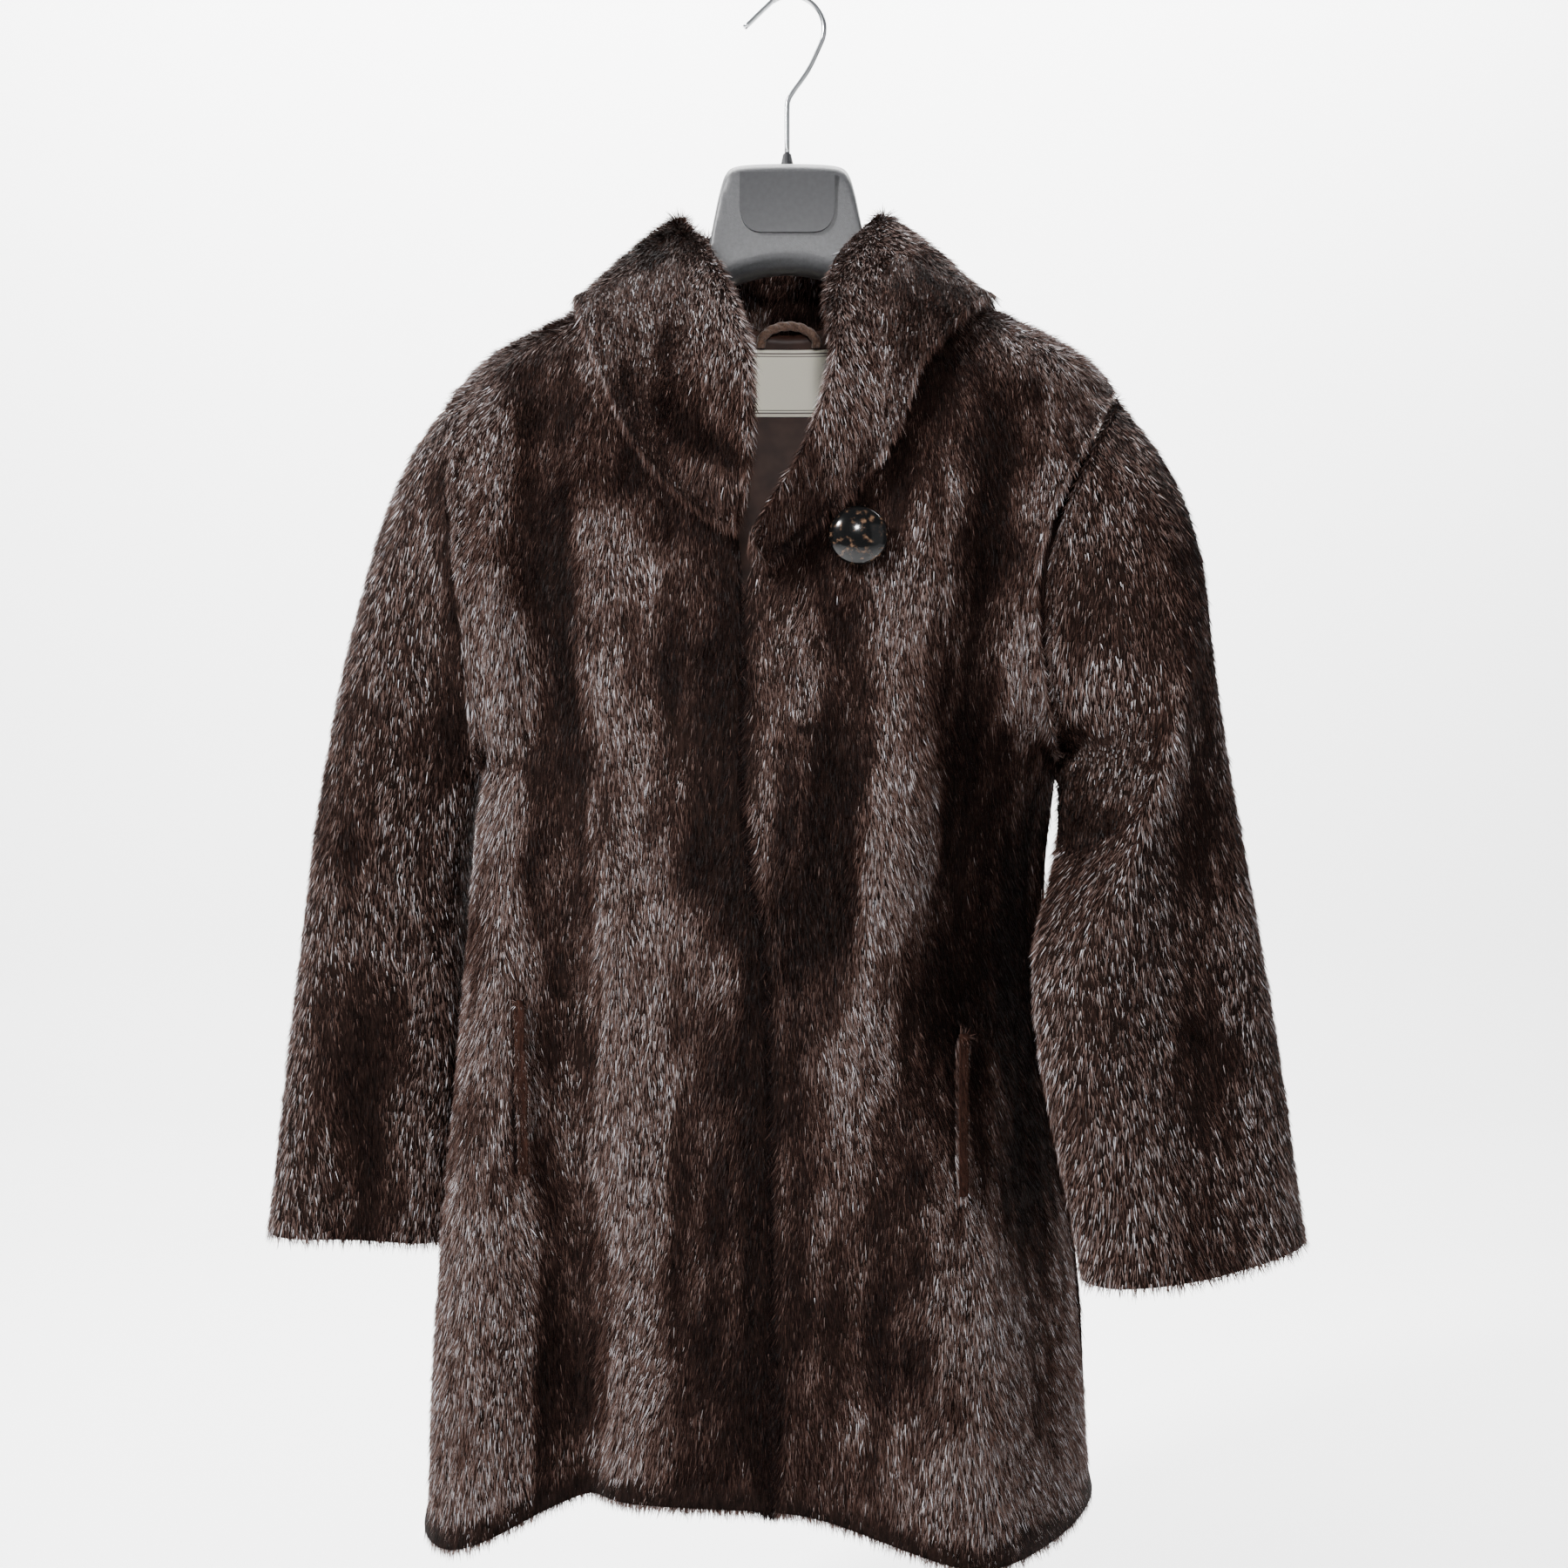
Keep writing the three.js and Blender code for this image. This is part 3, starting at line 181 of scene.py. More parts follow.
class Finish:
    # A material with its nodes made in order, each joined to the ones before it
    def __init__(self, name):
        self.material = bpy.data.materials.new(name)
        self.material.use_nodes = True
        self.tree = self.material.node_tree
        self.shader = self.tree.nodes["Principled BSDF"]

    def set(self, **values):
        for name, value in values.items():
            self.shader.inputs[name.replace("_", " ")].default_value = value
        return self

    def node(self, kind, inputs=None, **settings):
        made = self.tree.nodes.new(kind)
        for name, value in settings.items():
            setattr(made, name, value)
        for name, value in (inputs or {}).items():
            if isinstance(value, bpy.types.NodeSocket):
                self.tree.links.new(value, made.inputs[name])
            else:
                made.inputs[name].default_value = value
        return made

    def ramp(self, factor, *stops):
        made = self.node("ShaderNodeValToRGB", {"Fac": factor})
        elements = made.color_ramp.elements
        while len(elements) < len(stops):
            elements.new(0.5)
        for element, (at, colour) in zip(elements, stops):
            element.position = at
            element.color = (*colour, 1)
        return made.outputs["Color"]

    def colour(self, socket):
        self.tree.links.new(socket, self.shader.inputs["Base Color"])

    def bump(self, height, strength, distance):
        made = self.node("ShaderNodeBump", {"Height": height, "Strength": strength, "Distance": distance})
        self.tree.links.new(made.outputs["Normal"], self.shader.inputs["Normal"])

    def place(self):
        return self.node("ShaderNodeTexCoord").outputs["Object"]

    def noise(self, scale, detail=3.0, stretch=(1, 1, 1)):
        spread = self.node("ShaderNodeMapping", {"Vector": self.place(), "Scale": stretch})
        inputs = {"Vector": spread.outputs[0], "Scale": scale, "Detail": detail}
        return self.node("ShaderNodeTexNoise", inputs).outputs["Fac"]


cord_finish = Finish("twisted brown cord").set(Roughness=0.55, Sheen_Weight=0.3)
cord_finish.colour(cord_finish.ramp(
    cord_finish.noise(900), (0.3, (0.055, 0.026, 0.016)), (0.7, (0.2, 0.105, 0.065))))
cord_finish.bump(cord_finish.noise(1600), 0.5, 0.0004)

rope_section = []
for i in range(36):
    around = 2 * math.pi * i / 36
    reach = LOOP_RADIUS * (0.76 + 0.24 * abs(math.cos(1.5 * around)))
    rope_section.append((reach * math.cos(around), reach * math.sin(around)))
loop_line = smooth_route(LOOP_ROUTE, 7)
STRAND_TWIST = 300  # radians for each metre of the cord
loop_mesh = swept("hanging_loop_cord", loop_line, rope_section, STRAND_TWIST)
loop = new_piece("hanging_loop_cord", loop_mesh, cord_finish.material)
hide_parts("hanging_loop")
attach(loop, "root")


# The two fronts are pelts let out in long strips and sewn edge to edge, with a dense underfur and
# long straight guard hairs that lie downwards. Inside they are lined with brown satin.
FUR_DEPTH = 0.0035  # from the tips of the lying hairs down to the underfur
FUR_SLOPE = 0.007  # how far from a seam the underfur is at its full depth
SHARP = math.radians(57)  # faces that meet at more than this belong to different sides
EDGE_LINE = [(-0.96, -0.007), (-0.62, -0.012), (-0.582, -0.018), (-0.505, -0.027), (-0.38, -0.027)]  # z, x
ROOT_DEPTH = 0.0008  # how far the hairs' roots lie under the top of the underfur
EDGE_REACH = 0.007  # how far from the front edge the hairs are combed across its gap
EDGE_TOP = -0.375  # they are combed below this height
GAP_TOP = -0.84  # and stand closer together below this one, where the gap is widest

underfur = Finish("dark brown underfur").set(Roughness=0.9, Specular_IOR_Level=0.05)
underfur.colour(underfur.ramp(
    underfur.noise(420, 4, (1, 1, 0.25)), (0.35, (0.003, 0.0015, 0.001)), (0.7, (0.012, 0.006, 0.0045))))
underfur.bump(underfur.noise(700, 4, (1, 1, 0.2)), 0.9, 0.003)

satin = Finish("brown satin").set(Roughness=0.45, Specular_IOR_Level=0.2)
satin.colour(satin.ramp(satin.noise(60, 2), (0.3, (0.03, 0.012, 0.008)), (0.7, (0.06, 0.026, 0.017))))
satin.bump(satin.noise(2600, 1, (1, 1, 0.2)), 0.12, 0.0003)

hairs = Finish("guard hairs").set(Roughness=0.45, Specular_IOR_Level=0.04)
hair_tone = hairs.node("ShaderNodeAttribute", attribute_name="tone").outputs["Fac"]
hair_along = hairs.node("ShaderNodeAttribute", attribute_name="along").outputs["Fac"]
# Near-black to reddish brown is the fur's own colour; the grey and silver top of the ramp is painted sheen
# and painted glints
hair_colour_and_sheen = hairs.ramp(hair_tone, (0.0, (0.0012, 0.0006, 0.0005)), (0.25, (0.01, 0.0046, 0.0036)),
                        (0.45, (0.05, 0.026, 0.02)), (0.65, (0.13, 0.086, 0.074)),
                        (0.82, (0.36, 0.325, 0.325)), (1.0, (0.66, 0.65, 0.7)))
hair_shade = hairs.ramp(hair_along, (0.0, (0.25, 0.25, 0.25)), (0.6, (1, 1, 1)))
hair_mix = hairs.node(
    "ShaderNodeMix", {"Factor": 1, 6: hair_colour_and_sheen, 7: hair_shade}, data_type="RGBA", blend_type="MULTIPLY")
hairs.colour(hair_mix.outputs[2])


def joined_copy(node):
    wall = bmesh.new()
    wall.from_mesh(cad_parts[node].data)
    bmesh.ops.remove_doubles(wall, verts=wall.verts, dist=1e-6)
    bmesh.ops.join_triangles(wall, faces=wall.faces, angle_face_threshold=math.radians(40),
                             angle_shape_threshold=math.radians(70))
    for face in wall.faces:
        face.smooth = True
        face.material_index = 0
    return wall


def mark_sides(wall, middle):
    # Outside 0, inside 1, rims 2: sheets of faces that meet at no sharp edge
    unmet = set(wall.faces)
    sheets = []
    while unmet:
        found = [unmet.pop()]
        for face in found:
            for edge in face.edges:
                for other in edge.link_faces:
                    if other in unmet and face.normal.angle(other.normal, 0) < SHARP:
                        unmet.discard(other)
                        found.append(other)
        sheets.append(found)
    sheets.sort(key=lambda found: -sum(face.calc_area() for face in found))
    outwards = []
    for found in sheets[:2]:
        outwards.append(sum(f.calc_area() * f.normal.dot(f.calc_center_median() - middle) for f in found))
    outside, inside = sheets[:2] if outwards[0] > outwards[1] else sheets[1::-1]
    for face in wall.faces:
        face.material_index = 2
    for face in outside:
        face.material_index = 0
    for face in inside:
        face.material_index = 1
    crease = wall.edges.layers.float.new("crease_edge")
    for edge in wall.edges:
        if len({face.material_index for face in edge.link_faces}) > 1:
            edge[crease] = 1.0


def subdivided(wall, name, levels):
    mesh = bpy.data.meshes.new(name)
    wall.to_mesh(mesh)
    piece = new_piece(name, mesh)
    smoothing = piece.modifiers.new("Subdivision", "SUBSURF")
    smoothing.levels = levels
    smoothing.render_levels = levels
    bpy.context.view_layer.update()
    made = bpy.data.meshes.new_from_object(piece.evaluated_get(bpy.context.evaluated_depsgraph_get()))
    bpy.data.objects.remove(piece)
    bpy.data.meshes.remove(mesh)
    made.name = name
    return made


def mesh_arrays(mesh, sides):
    # Its points, the triangles of those sides, and the points' normals over them
    mesh.calc_loop_triangles()
    points = np.empty(len(mesh.vertices) * 3)
    mesh.vertices.foreach_get("co", points)
    points = points.reshape(-1, 3)
    corners = np.empty(len(mesh.loop_triangles) * 3, int)
    mesh.loop_triangles.foreach_get("vertices", corners)
    side = np.empty(len(mesh.loop_triangles), int)
    mesh.loop_triangles.foreach_get("material_index", side)
    corners = corners.reshape(-1, 3)[np.isin(side, sides)]
    a, b, c = points[corners].transpose(1, 0, 2)
    across = np.cross(b - a, c - a)
    normals = np.zeros_like(points)
    for i in range(3):
        np.add.at(normals, corners[:, i], across)
    normals /= np.maximum(np.linalg.norm(normals, axis=1, keepdims=True), 1e-12)
    return points, corners, normals


def fur_depths(mesh, points):
    # How far the underfur lies below the tips of the hairs: less towards a seam or an open edge
    rim = points[edge_points(mesh)]
    if not len(rim):
        return np.full(len(points), FUR_DEPTH)
    near = KDTree(len(rim))
    for i, point in enumerate(rim):
        near.insert(point, i)
    near.balance()
    away = np.array([near.find(point)[2] for point in points])
    return FUR_DEPTH * np.clip(away / FUR_SLOPE, 0.3, 1)


def lowered(mesh):
    # The outside moved in, to the top of the underfur
    points, _, normals = mesh_arrays(mesh, [0])
    points -= normals * fur_depths(mesh, points)[:, None]
    mesh.vertices.foreach_set("co", points.ravel())
    mesh.update()
    return mesh


def unit(vectors):
    return vectors / np.maximum(np.linalg.norm(vectors, axis=1, keepdims=True), 1e-9)


def drift(points, size, seed):
    # A smooth random value about 0, in patches of that size, longer down the coat
    waves = np.random.default_rng(seed)
    total = np.zeros(len(points))
    for _ in range(7):
        wave = waves.normal(size=3) * (1, 1, 0.55) / size * 2.2
        total += np.sin(points @ wave + waves.uniform(0, 2 * math.pi))
    return total / 2.6


def fold_heights(points, corners, normals, passes=70):
    # How far each point stands out from the cloth round it, in metres: folds above 0, valleys below
    pairs = np.vstack([corners[:, [0, 1]], corners[:, [1, 2]], corners[:, [2, 0]]])
    pairs = np.vstack([pairs, pairs[:, ::-1]])
    number = np.maximum(np.bincount(pairs[:, 0], minlength=len(points)), 1)
    smooth = points.copy()
    for _ in range(passes):
        sums = [np.bincount(pairs[:, 0], smooth[pairs[:, 1], k], len(points)) for k in range(3)]
        smooth = np.stack(sums, 1) / number[:, None]
    heights = ((points - smooth) * normals).sum(1)
    return heights - np.median(heights[corners.ravel()])


def fill_hollow(skin, middle, reach, passes):
    # Lets the skin within a reach of a place settle, so that the fur lies evenly over a sharp pleat
    points, corners, _ = mesh_arrays(skin, [0])
    pairs = np.vstack([corners[:, [0, 1]], corners[:, [1, 2]], corners[:, [2, 0]]])
    pairs = np.vstack([pairs, pairs[:, ::-1]])
    number = np.bincount(pairs[:, 0], minlength=len(points))
    share = np.clip(1.6 - 1.6 * np.linalg.norm((points - middle) / reach, axis=1), 0, 1)
    share = (share * (number > 0) * (~edge_points(skin)))[:, None]
    for _ in range(passes):
        sums = [np.bincount(pairs[:, 0], points[pairs[:, 1], k], len(points)) for k in range(3)]
        points += share * (np.stack(sums, 1) / np.maximum(number, 1)[:, None] - points)
    skin.vertices.foreach_set("co", points.ravel())
    skin.update()


def edge_points(skin):
    # Which points also belong to a rim
    _, rim, _ = mesh_arrays(skin, [2])
    on_rim = np.zeros(len(skin.vertices), bool)
    on_rim[rim.ravel()] = True
    return on_rim


def off_edge(places):
    # How far places lie to the side of the front edge
    return np.abs(places[:, 0] - np.interp(places[:, 2], *np.array(EDGE_LINE).T))


def combed_over(nap, place, pull):
    # The nap turned sideways along the front edge, most at the edge itself
    beside_edge = off_edge(place)
    on_edge = (beside_edge < EDGE_REACH) & (place[:, 2] < EDGE_TOP) & (place[:, 1] < 0)
    share = on_edge * (1 - beside_edge / EDGE_REACH)
    return unit(nap + np.array([pull, 0, 0]) * share[:, None])


def hair_tones(place, normal, height, painted_light_marks, painted_fold_shade, chance):
    # From 0, near-black, to 1, silver: patches of tone that are partly the fur's own and partly painted
    # sheen, painted shade in the hollows and a painted highlight on the folds, the marks of painted light and
    # shade, then single hairs with a painted glint
    patch = 0.455 + 0.1 * drift(place, 0.05, 14) + 0.09 * drift(place, 0.012, 15)
    # Painted shade in the hollows of the folds, and a painted highlight on their crests
    patch += painted_fold_shade * np.clip(80 * height, -0.25, 0.12)
    for mark_x, mark_z, half_width, half_height, change in painted_light_marks:
        away = ((place[:, 0] - mark_x) / half_width) ** 2 + ((place[:, 2] - mark_z) / half_height) ** 2
        patch += change * np.exp(-away) * (normal[:, 1] < 0.3)
    patch = np.clip(patch, 0.1, 0.54)
    # Single hairs painted brighter, up to silver, as glints
    glint = chance.random(len(place)) < 0.05 + 0.42 * patch ** 2
    return np.clip(patch + 0.1 * chance.normal(size=len(place)) + 0.26 * glint, 0, 1)


def grow_hairs(name, skin, count, length, width, seed, painted_light_marks=(), painted_fold_shade=1.0, pull=0.0):
    # Each mark is a place of painted shade, shadow or highlight on the nap: x, z, half width, half height and
    # how much darker (below 0) or lighter (above 0) the hairs are painted there. The fold share is how much
    # painted shade goes into the hollows and painted highlight onto the folds. Pull combs the hairs along the
    # front edge across its gap
    points, corners, normals = mesh_arrays(skin, [0, 2])
    a, b, c = points[corners].transpose(1, 0, 2)
    area = np.linalg.norm(np.cross(b - a, c - a), axis=1)
    heights = fold_heights(points, corners, normals)
    chance = np.random.default_rng(seed)
    if pull:
        area[(off_edge(a) < EDGE_REACH) & (a[:, 2] < GAP_TOP) & (a[:, 1] < 0)] *= 6
    chosen = corners[chance.choice(len(corners), count, p=area / area.sum())]
    u, v = chance.random((2, count))
    over = u + v > 1
    u[over], v[over] = 1 - u[over], 1 - v[over]
    weights = np.stack([1 - u - v, u, v], 1)[:, :, None]
    place = (points[chosen] * weights).sum(1)
    normal = unit((normals[chosen] * weights).sum(1))

    # The nap lies straight down the skin, swings a little, and each hair is lifted 6 to 36 degrees
    down = np.array([0.0, 0.0, -1.0]) + normal * normal[:, 2:3]
    flat_share = np.clip(np.linalg.norm(down, axis=1, keepdims=True), 0.0, 1.0)
    nap = unit(down)
    beside = np.cross(normal, nap)
    swing = 0.13 * drift(place, 0.055, 11) + 0.11 * drift(place, 0.011, 12)
    swing += 0.13 * chance.normal(size=count)
    nap = nap * np.cos(swing)[:, None] + beside * np.sin(swing)[:, None]
    if pull:
        nap = combed_over(nap, place, pull)
    lift = 16 + 4 * drift(place, 0.05, 13) + 3.5 * drift(place, 0.009, 17) + 4.5 * chance.normal(size=count)
    lift = np.radians(np.clip(lift, 6, 36))[:, None]
    along = unit(nap * np.cos(lift) * flat_share + normal * np.sin(lift))
    side = unit(np.cross(along, normal))
    roll = (0.7 * chance.normal(size=count))[:, None]
    side = side * np.cos(roll) + np.cross(along, side) * np.sin(roll)

    # Each hair is a slim triangle, rooted just under the top of the underfur
    reach = length * (0.7 + 0.6 * chance.random(count))[:, None]
    depth = (fur_depths(skin, points)[chosen] * weights[:, :, 0]).sum(1)
    root = place - normal * (depth + ROOT_DEPTH)[:, None]
    half = width / 2 * (0.7 + 0.6 * chance.random((count, 1)))
    blades = np.stack([root - side * half, root + side * half, root + along * reach], 1)
    mesh = bpy.data.meshes.new(name)
    mesh.vertices.add(3 * count)
    mesh.loops.add(3 * count)
    mesh.polygons.add(count)
    mesh.vertices.foreach_set("co", blades.ravel())
    mesh.loops.foreach_set("vertex_index", np.arange(3 * count))
    mesh.polygons.foreach_set("loop_start", np.arange(0, 3 * count, 3))
    mesh.update()

    height = (heights[chosen] * weights[:, :, 0]).sum(1)
    tone = hair_tones(place, normal, height, painted_light_marks, painted_fold_shade, chance)
    for attribute, values in (("tone", np.repeat(tone, 3)), ("along", np.tile([0.0, 0.0, 1.0], count))):
        stored = mesh.attributes.new(attribute, "FLOAT", "POINT")
        stored.data.foreach_set("value", values.astype(np.float32))
    return new_piece(name, mesh, hairs.material)


def fur_panel(node, middle, count, length, width, seed, painted_light_marks=(), painted_fold_shade=1.0, pull=0.0,
              pleat=None):
    # A panel of pelt: its underfur and lining in one piece, with its hairs in another. Middle is
    # a point on its lined side
    wall = joined_copy(node)
    mark_sides(wall, Vector(middle))
    skin = subdivided(wall, "skin", 2)
    base = subdivided(wall, node + "_pelt", 1)
    if pleat:
        fill_hollow(skin, *pleat, 6)
        fill_hollow(base, *pleat, 2)
    hair = grow_hairs(node + "_hairs", skin, count, length, width, seed, painted_light_marks, painted_fold_shade, pull)
    pelt = new_piece(node + "_pelt", lowered(base))
    pelt.data.materials.clear()
    for finish in (underfur, satin, underfur):
        pelt.data.materials.append(finish.material)
    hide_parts(node)
    for piece in (pelt, hair):
        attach(piece, "root")


# Along the front edge: a strip of painted shadow beside the edge and a faint painted highlight just across it
edge_shadow_and_highlight = []
for i in range(40):
    edge_z = -0.38 - 0.0145 * i
    edge_x = float(np.interp(edge_z, *np.array(EDGE_LINE).T))
    edge_shadow_and_highlight.append((edge_x - 0.0045, edge_z, 0.0065, 0.012, -0.6))
    edge_shadow_and_highlight.append((edge_x + 0.008, edge_z, 0.006, 0.012, 0.07))
# Painted shade in the slits of the fastening hook and the pocket, then wide places of painted shade, painted
# shadow under the collar and the button, and painted sheen on the nap
LEFT_LIGHT_AND_SHADE = [
    (0.0185, -0.468, 0.011, 0.0028, -0.9), (0.103, -0.7, 0.003, 0.05, -0.8),
    (0.128, -0.335, 0.017, 0.06, -0.3), (0.092, -0.42, 0.014, 0.07, -0.22), (0.012, -0.43, 0.016, 0.03, 0.16),
    (0.052, -0.47, 0.014, 0.08, 0.14), (0.03, -0.57, 0.012, 0.06, -0.25), (0.045, -0.68, 0.018, 0.12, 0.1),
    (0.135, -0.6, 0.014, 0.09, -0.25), (0.085, -0.86, 0.02, 0.06, -0.2), (0.055, -0.92, 0.03, 0.03, 0.16),
    (0.14, -0.92, 0.03, 0.03, 0.14), (0.08, -0.24, 0.022, 0.05, -0.34), (0.068, -0.31, 0.016, 0.03, -0.3),
    (0.028, -0.352, 0.02, 0.014, -0.34), (0.19, -0.27, 0.02, 0.04, 0.08), (0.03, -0.8, 0.02, 0.12, 0.14),
]
RIGHT_LIGHT_AND_SHADE = [
    (-0.002, -0.608, 0.009, 0.005, -0.6), (-0.038, -0.423, 0.012, 0.008, -0.5),
    (-0.1655, -0.69, 0.003, 0.055, -0.8),
    (-0.067, -0.44, 0.014, 0.05, -0.12), (-0.136, -0.38, 0.011, 0.09, -0.32),
    (-0.118, -0.52, 0.012, 0.08, -0.22), (-0.045, -0.53, 0.02, 0.05, -0.26), (-0.1, -0.74, 0.04, 0.15, 0.3),
    (-0.062, -0.74, 0.012, 0.16, -0.18), (-0.165, -0.72, 0.02, 0.1, 0.08), (-0.14, -0.86, 0.012, 0.09, -0.2),
    (-0.09, -0.315, 0.04, 0.022, -0.26), (-0.045, -0.35, 0.03, 0.012, -0.25),
    (-0.165, -0.45, 0.014, 0.12, 0.1), (-0.085, -0.45, 0.035, 0.13, 0.17), (-0.07, -0.62, 0.03, 0.1, 0.14),
    (-0.205, -0.29, 0.02, 0.04, 0.08),
]
LINED_SIDE = (0, 0, -0.5)
fur_panel("front_left", LINED_SIDE, 190000, 0.0076, 0.0006, 1,
          edge_shadow_and_highlight + LEFT_LIGHT_AND_SHADE, pull=-0.9)
fur_panel("front_right", LINED_SIDE, 190000, 0.0076, 0.0006, 2,
          edge_shadow_and_highlight + RIGHT_LIGHT_AND_SHADE, pull=0.5)


# The back is one wide panel of the same pelts, from the neck and shoulder seams to the hem.
fur_panel("back", LINED_SIDE, 122000, 0.0095, 0.00084, 3, painted_fold_shade=0.35)


# The sleeves are tubes of the same pelts, set into the armholes and open at the cuffs.
# Painted shade in the sleeves' valleys and under the arm, and painted sheen on their lit ridges
SLEEVE_LIGHT_AND_SHADE = [
    (0.24, -0.37, 0.03, 0.07, -0.3), (0.262, -0.55, 0.014, 0.14, -0.25), (0.17, -0.5, 0.035, 0.03, -0.45),
    (0.225, -0.5, 0.012, 0.12, 0.1), (0.28, -0.77, 0.04, 0.03, 0.16), (0.2, -0.72, 0.02, 0.08, 0.1),
    (-0.235, -0.36, 0.012, 0.09, 0.16), (-0.208, -0.38, 0.012, 0.1, -0.35), (-0.3, -0.66, 0.02, 0.12, -0.1),
    (-0.272, -0.7, 0.02, 0.1, -0.25), (-0.275, -0.48, 0.02, 0.1, -0.15), (-0.245, -0.56, 0.016, 0.1, 0.12),
]
UNDERARM = ((0.205, -0.05, -0.5), (0.06, 0.075, 0.075))
fur_panel("sleeve_left", (0.25, -0.03, -0.55), 142000, 0.0078, 0.00068, 4,
          SLEEVE_LIGHT_AND_SHADE, pleat=UNDERARM)
fur_panel("sleeve_right", (-0.25, 0.0, -0.55), 130000, 0.0078, 0.00068, 5,
          SLEEVE_LIGHT_AND_SHADE)


# The shawl collar is fur on both sides, rolled over a short stand and sewn round the neckline.
# Its right end stays low on the front, and its left end runs down over the front edge.
collar_wall = joined_copy("collar")
collar_skin = subdivided(collar_wall, "skin", 2)
# Painted shade and painted sheen on the collar
COLLAR_LIGHT_AND_SHADE = [
    (-0.082, -0.2, 0.02, 0.035, -0.32), (-0.05, -0.24, 0.02, 0.03, 0.14), (-0.06, -0.312, 0.022, 0.01, 0.1),
    (0.05, -0.2, 0.014, 0.05, 0.1), (0.085, -0.2, 0.02, 0.04, -0.3), (0.03, -0.29, 0.012, 0.05, 0.12),
]
# Painted shade along the crease of the collar's fall
for i in range(6):
    COLLAR_LIGHT_AND_SHADE.append((-0.094 + 0.0125 * i, -0.264 - 0.0095 * i, 0.011, 0.0065, -0.42))
collar_hair = grow_hairs("collar_hairs", collar_skin, 104000, 0.0086, 0.00065, 6, COLLAR_LIGHT_AND_SHADE, 0.15)
collar_pelt = new_piece(
    "collar_pelt", lowered(subdivided(collar_wall, "collar_pelt", 1)), underfur.material)
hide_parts("collar")
for piece in (collar_pelt, collar_hair):
    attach(piece, "root")


# The lining behind the neck is brown satin, laid on the inside of the back.
lining_wall = joined_copy("lining_back")
mark_sides(lining_wall, Vector((0, 0, -0.3)))
lining = new_piece("neck_lining", subdivided(lining_wall, "neck_lining", 1))
lining.data.materials.clear()
for _ in range(3):
    lining.data.materials.append(satin.material)
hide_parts("lining_back")
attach(lining, "root")


# The label is cream satin, woven with two thin dark lines along its edge and sewn to the lining.
label_wall = joined_copy("label")
mark_sides(label_wall, Vector((0, 0, -0.235)))
label = new_piece("neck_label", subdivided(label_wall, "neck_label", 2))
LABEL_BORDER = 0.006  # the border's width, with both its lines
low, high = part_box("label")
cream = Finish("cream woven satin").set(Roughness=0.5)
spot = cream.node("ShaderNodeSeparateXYZ", {"Vector": cream.place()})
beyond = []
for axis, start, end in (("X", low.x, high.x), ("Z", low.z, high.z)):
    off = cream.node("ShaderNodeMath", {0: spot.outputs[axis], 1: (start + end) / 2}, operation="SUBTRACT")
    far = cream.node("ShaderNodeMath", {0: off.outputs[0]}, operation="ABSOLUTE")
    past = cream.node("ShaderNodeMath", {0: far.outputs[0], 1: (end - start) / 2}, operation="SUBTRACT")
    beyond.append(past.outputs[0])
border = cream.node("ShaderNodeMath", {0: beyond[0], 1: beyond[1]}, operation="MAXIMUM")
inset = cream.node(
    "ShaderNodeMapRange", {"Value": border.outputs[0], "From Min": -LABEL_BORDER, "From Max": 0.0})
WHITE, BROWN = (0.92, 0.86, 0.72), (0.12, 0.09, 0.07)
cream.colour(cream.ramp(
    inset.outputs[0], (0.24, WHITE), (0.28, BROWN), (0.34, BROWN), (0.38, WHITE), (0.5, WHITE),
    (0.54, BROWN), (0.66, BROWN), (0.7, WHITE)))
cream.bump(cream.noise(2400, 1, (1, 1, 0.15)), 0.2, 0.0003)
label.data.materials.clear()
for _ in range(3):
    label.data.materials.append(cream.material)
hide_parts("label")
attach(label, "root")


# The button is a polished dome of near-black horn, 35 mm across, with brown flecks.
BUTTON_RADIUS = 0.0175
low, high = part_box("button")
BUTTON_PROFILE = [
    (0.0, 0.0), (0.80, 0.0), (0.93, 0.06), (0.985, 0.18), (1.0, 0.32), (0.97, 0.44), (0.9, 0.56),
    (0.8, 0.68), (0.66, 0.8), (0.48, 0.9), (0.25, 0.975), (0.0, 1.0),
]
turned = bmesh.new()
middle_x, middle_z = (low.x + high.x) / 2, (low.z + high.z) / 2
thick = high.y - low.y
edge = []
for out, up in BUTTON_PROFILE:
    edge.append(turned.verts.new((middle_x + out * BUTTON_RADIUS, high.y - up * thick, middle_z)))
lines = [turned.edges.new(pair) for pair in zip(edge, edge[1:])]
bmesh.ops.spin(turned, geom=edge + lines, cent=(middle_x, 0, middle_z), axis=(0, 1, 0),
               angle=2 * math.pi, steps=56, use_merge=True)
bmesh.ops.remove_doubles(turned, verts=turned.verts, dist=1e-6)
bmesh.ops.recalc_face_normals(turned, faces=turned.faces)
for face in turned.faces:
    face.smooth = True
button_mesh = bpy.data.meshes.new("horn_button")
turned.to_mesh(button_mesh)
horn = Finish("polished dark horn").set(Roughness=0.12, Specular_IOR_Level=0.35)
horn.colour(horn.ramp(
    horn.noise(260, 5), (0.54, (0.002, 0.002, 0.002)), (0.62, (0.02, 0.012, 0.008)),
    (0.74, (0.13, 0.075, 0.045))))
button = new_piece("horn_button", button_mesh, horn.material)
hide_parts("button")
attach(button, "root")


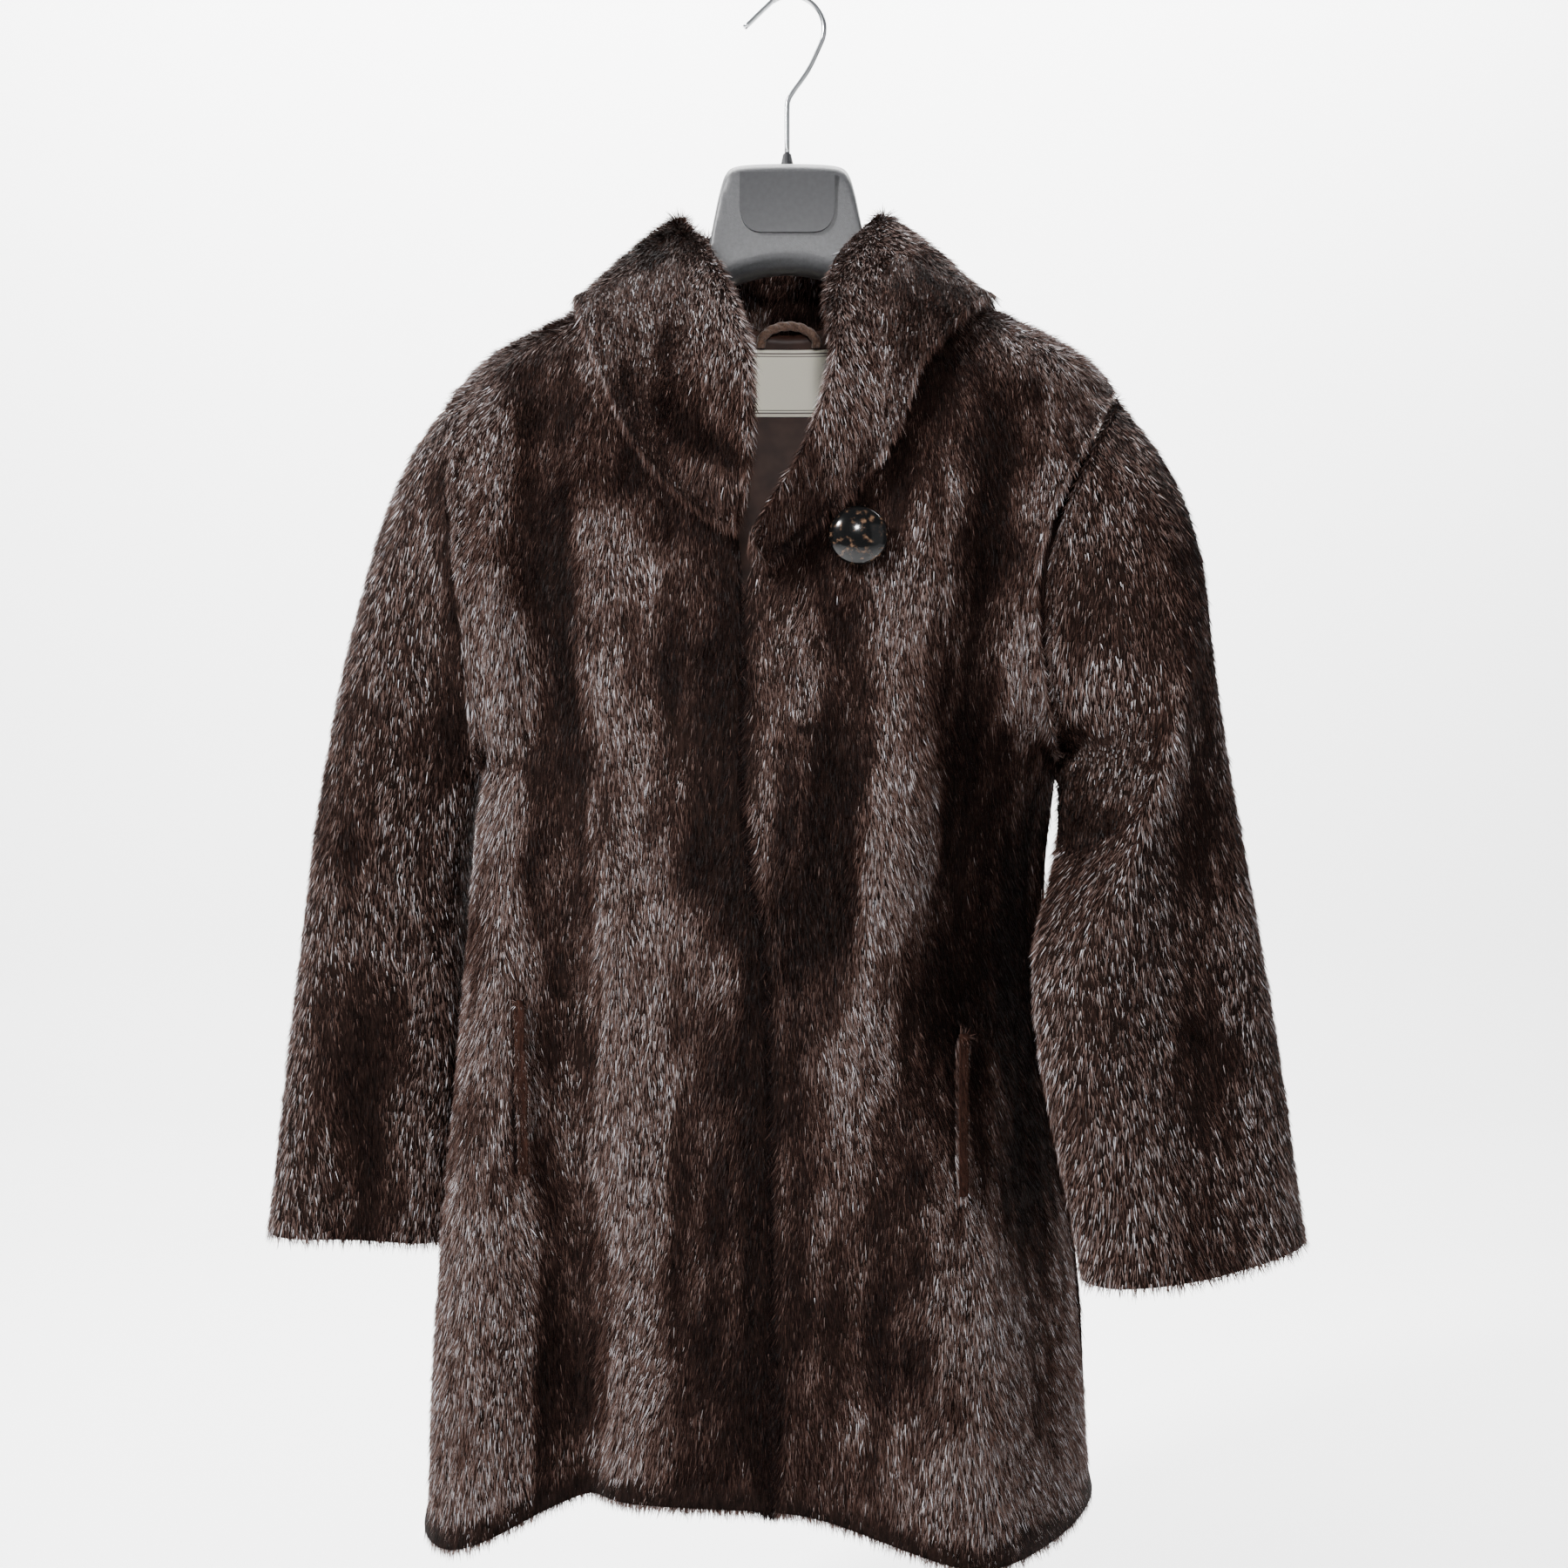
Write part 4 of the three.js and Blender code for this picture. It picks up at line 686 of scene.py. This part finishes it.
# The welts of the slit pockets are narrow strips of short brown fur along each opening.
short_fur = Finish("short brown fur").set(Roughness=0.9, Specular_IOR_Level=0.04)
short_fur.colour(short_fur.ramp(
    short_fur.noise(500, 3, (1, 1, 0.2)), (0.3, (0.007, 0.003, 0.002)), (0.7, (0.03, 0.013, 0.009))))
short_fur.bump(short_fur.noise(900, 3, (1, 1, 0.2)), 0.8, 0.002)
for side in ("left", "right"):
    welt_wall = joined_copy("pocket_welt_" + side)
    mark_sides(welt_wall, Vector((0, 0, -0.7)))
    welt = new_piece("pocket_strip_" + side, subdivided(welt_wall, "pocket_strip_" + side, 2))
    welt.data.materials.clear()
    for _ in range(3):
        welt.data.materials.append(short_fur.material)
    welt_skin = subdivided(welt_wall, "skin", 2)
    nap = grow_hairs("pocket_nap_" + side, welt_skin, 2400, 0.0065, 0.0007, 7, painted_fold_shade=0.2)
    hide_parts("pocket_welt_" + side)
    for piece in (welt, nap):
        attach(piece, "root")


# The hanger is a broad moulding of fine-textured grey plastic, with a plain neck plate in front.
plastic = Finish("textured grey plastic").set(Roughness=0.42)
plastic.colour(plastic.ramp(
    plastic.noise(500, 3), (0.3, (0.034, 0.034, 0.036)), (0.7, (0.052, 0.052, 0.055))))
plastic.bump(plastic.noise(1500, 2), 0.35, 0.0004)
hanger_wall = joined_copy("hanger")
hanger = new_piece("hanger_moulding", subdivided(hanger_wall, "hanger_moulding", 2), plastic.material)
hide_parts("hanger")
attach(hanger, "root")


# The bare plaque is a smooth dark plate set in the front of the neck plate, with a raised rim.
smooth_plastic = Finish("smooth dark plastic").set(Roughness=0.32)
smooth_plastic.colour(smooth_plastic.ramp(
    smooth_plastic.noise(300, 2), (0.3, (0.016, 0.016, 0.018)), (0.7, (0.024, 0.024, 0.026))))
for node in ("hanger_plaque", "hook_ferrule"):
    cad_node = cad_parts[node]
    cad_node.data.materials.clear()
    cad_node.data.materials.append(smooth_plastic.material)


# The hook is 3.5 mm bright steel wire, bent round the rail and cranked back over the yoke.
WIRE_RADIUS = 0.00175
HOOK_RADIUS = 21.3  # in mm from here on, to the middle of the wire
HOOK_MIDDLE = (2.5, 1.75 - HOOK_RADIUS)
hook_points = [(-27.5, 0, -19)]
for i in range(15):
    angle = math.radians(132 - 158 * i / 14)
    across, up = HOOK_RADIUS * math.cos(angle), HOOK_RADIUS * math.sin(angle)
    hook_points.append((HOOK_MIDDLE[0] + across, 0, HOOK_MIDDLE[1] + up))
hook_points += [(13.5, 0, -46), (3.4, 0, -60.5), (0.6, 0, -66), (0, 0, -72), (0, 0, -100)]
steel = Finish("bright steel wire").set(Metallic=1.0, Roughness=0.2)
steel.colour(steel.ramp(steel.noise(200, 2), (0.3, (0.6, 0.61, 0.63)), (0.7, (0.75, 0.76, 0.78))))
hook_mesh = swept("steel_hook", smooth_route(hook_points, 8), circle(WIRE_RADIUS, 20))
hook = new_piece("steel_hook", hook_mesh, steel.material)
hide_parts("hook")
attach(hook, "root")
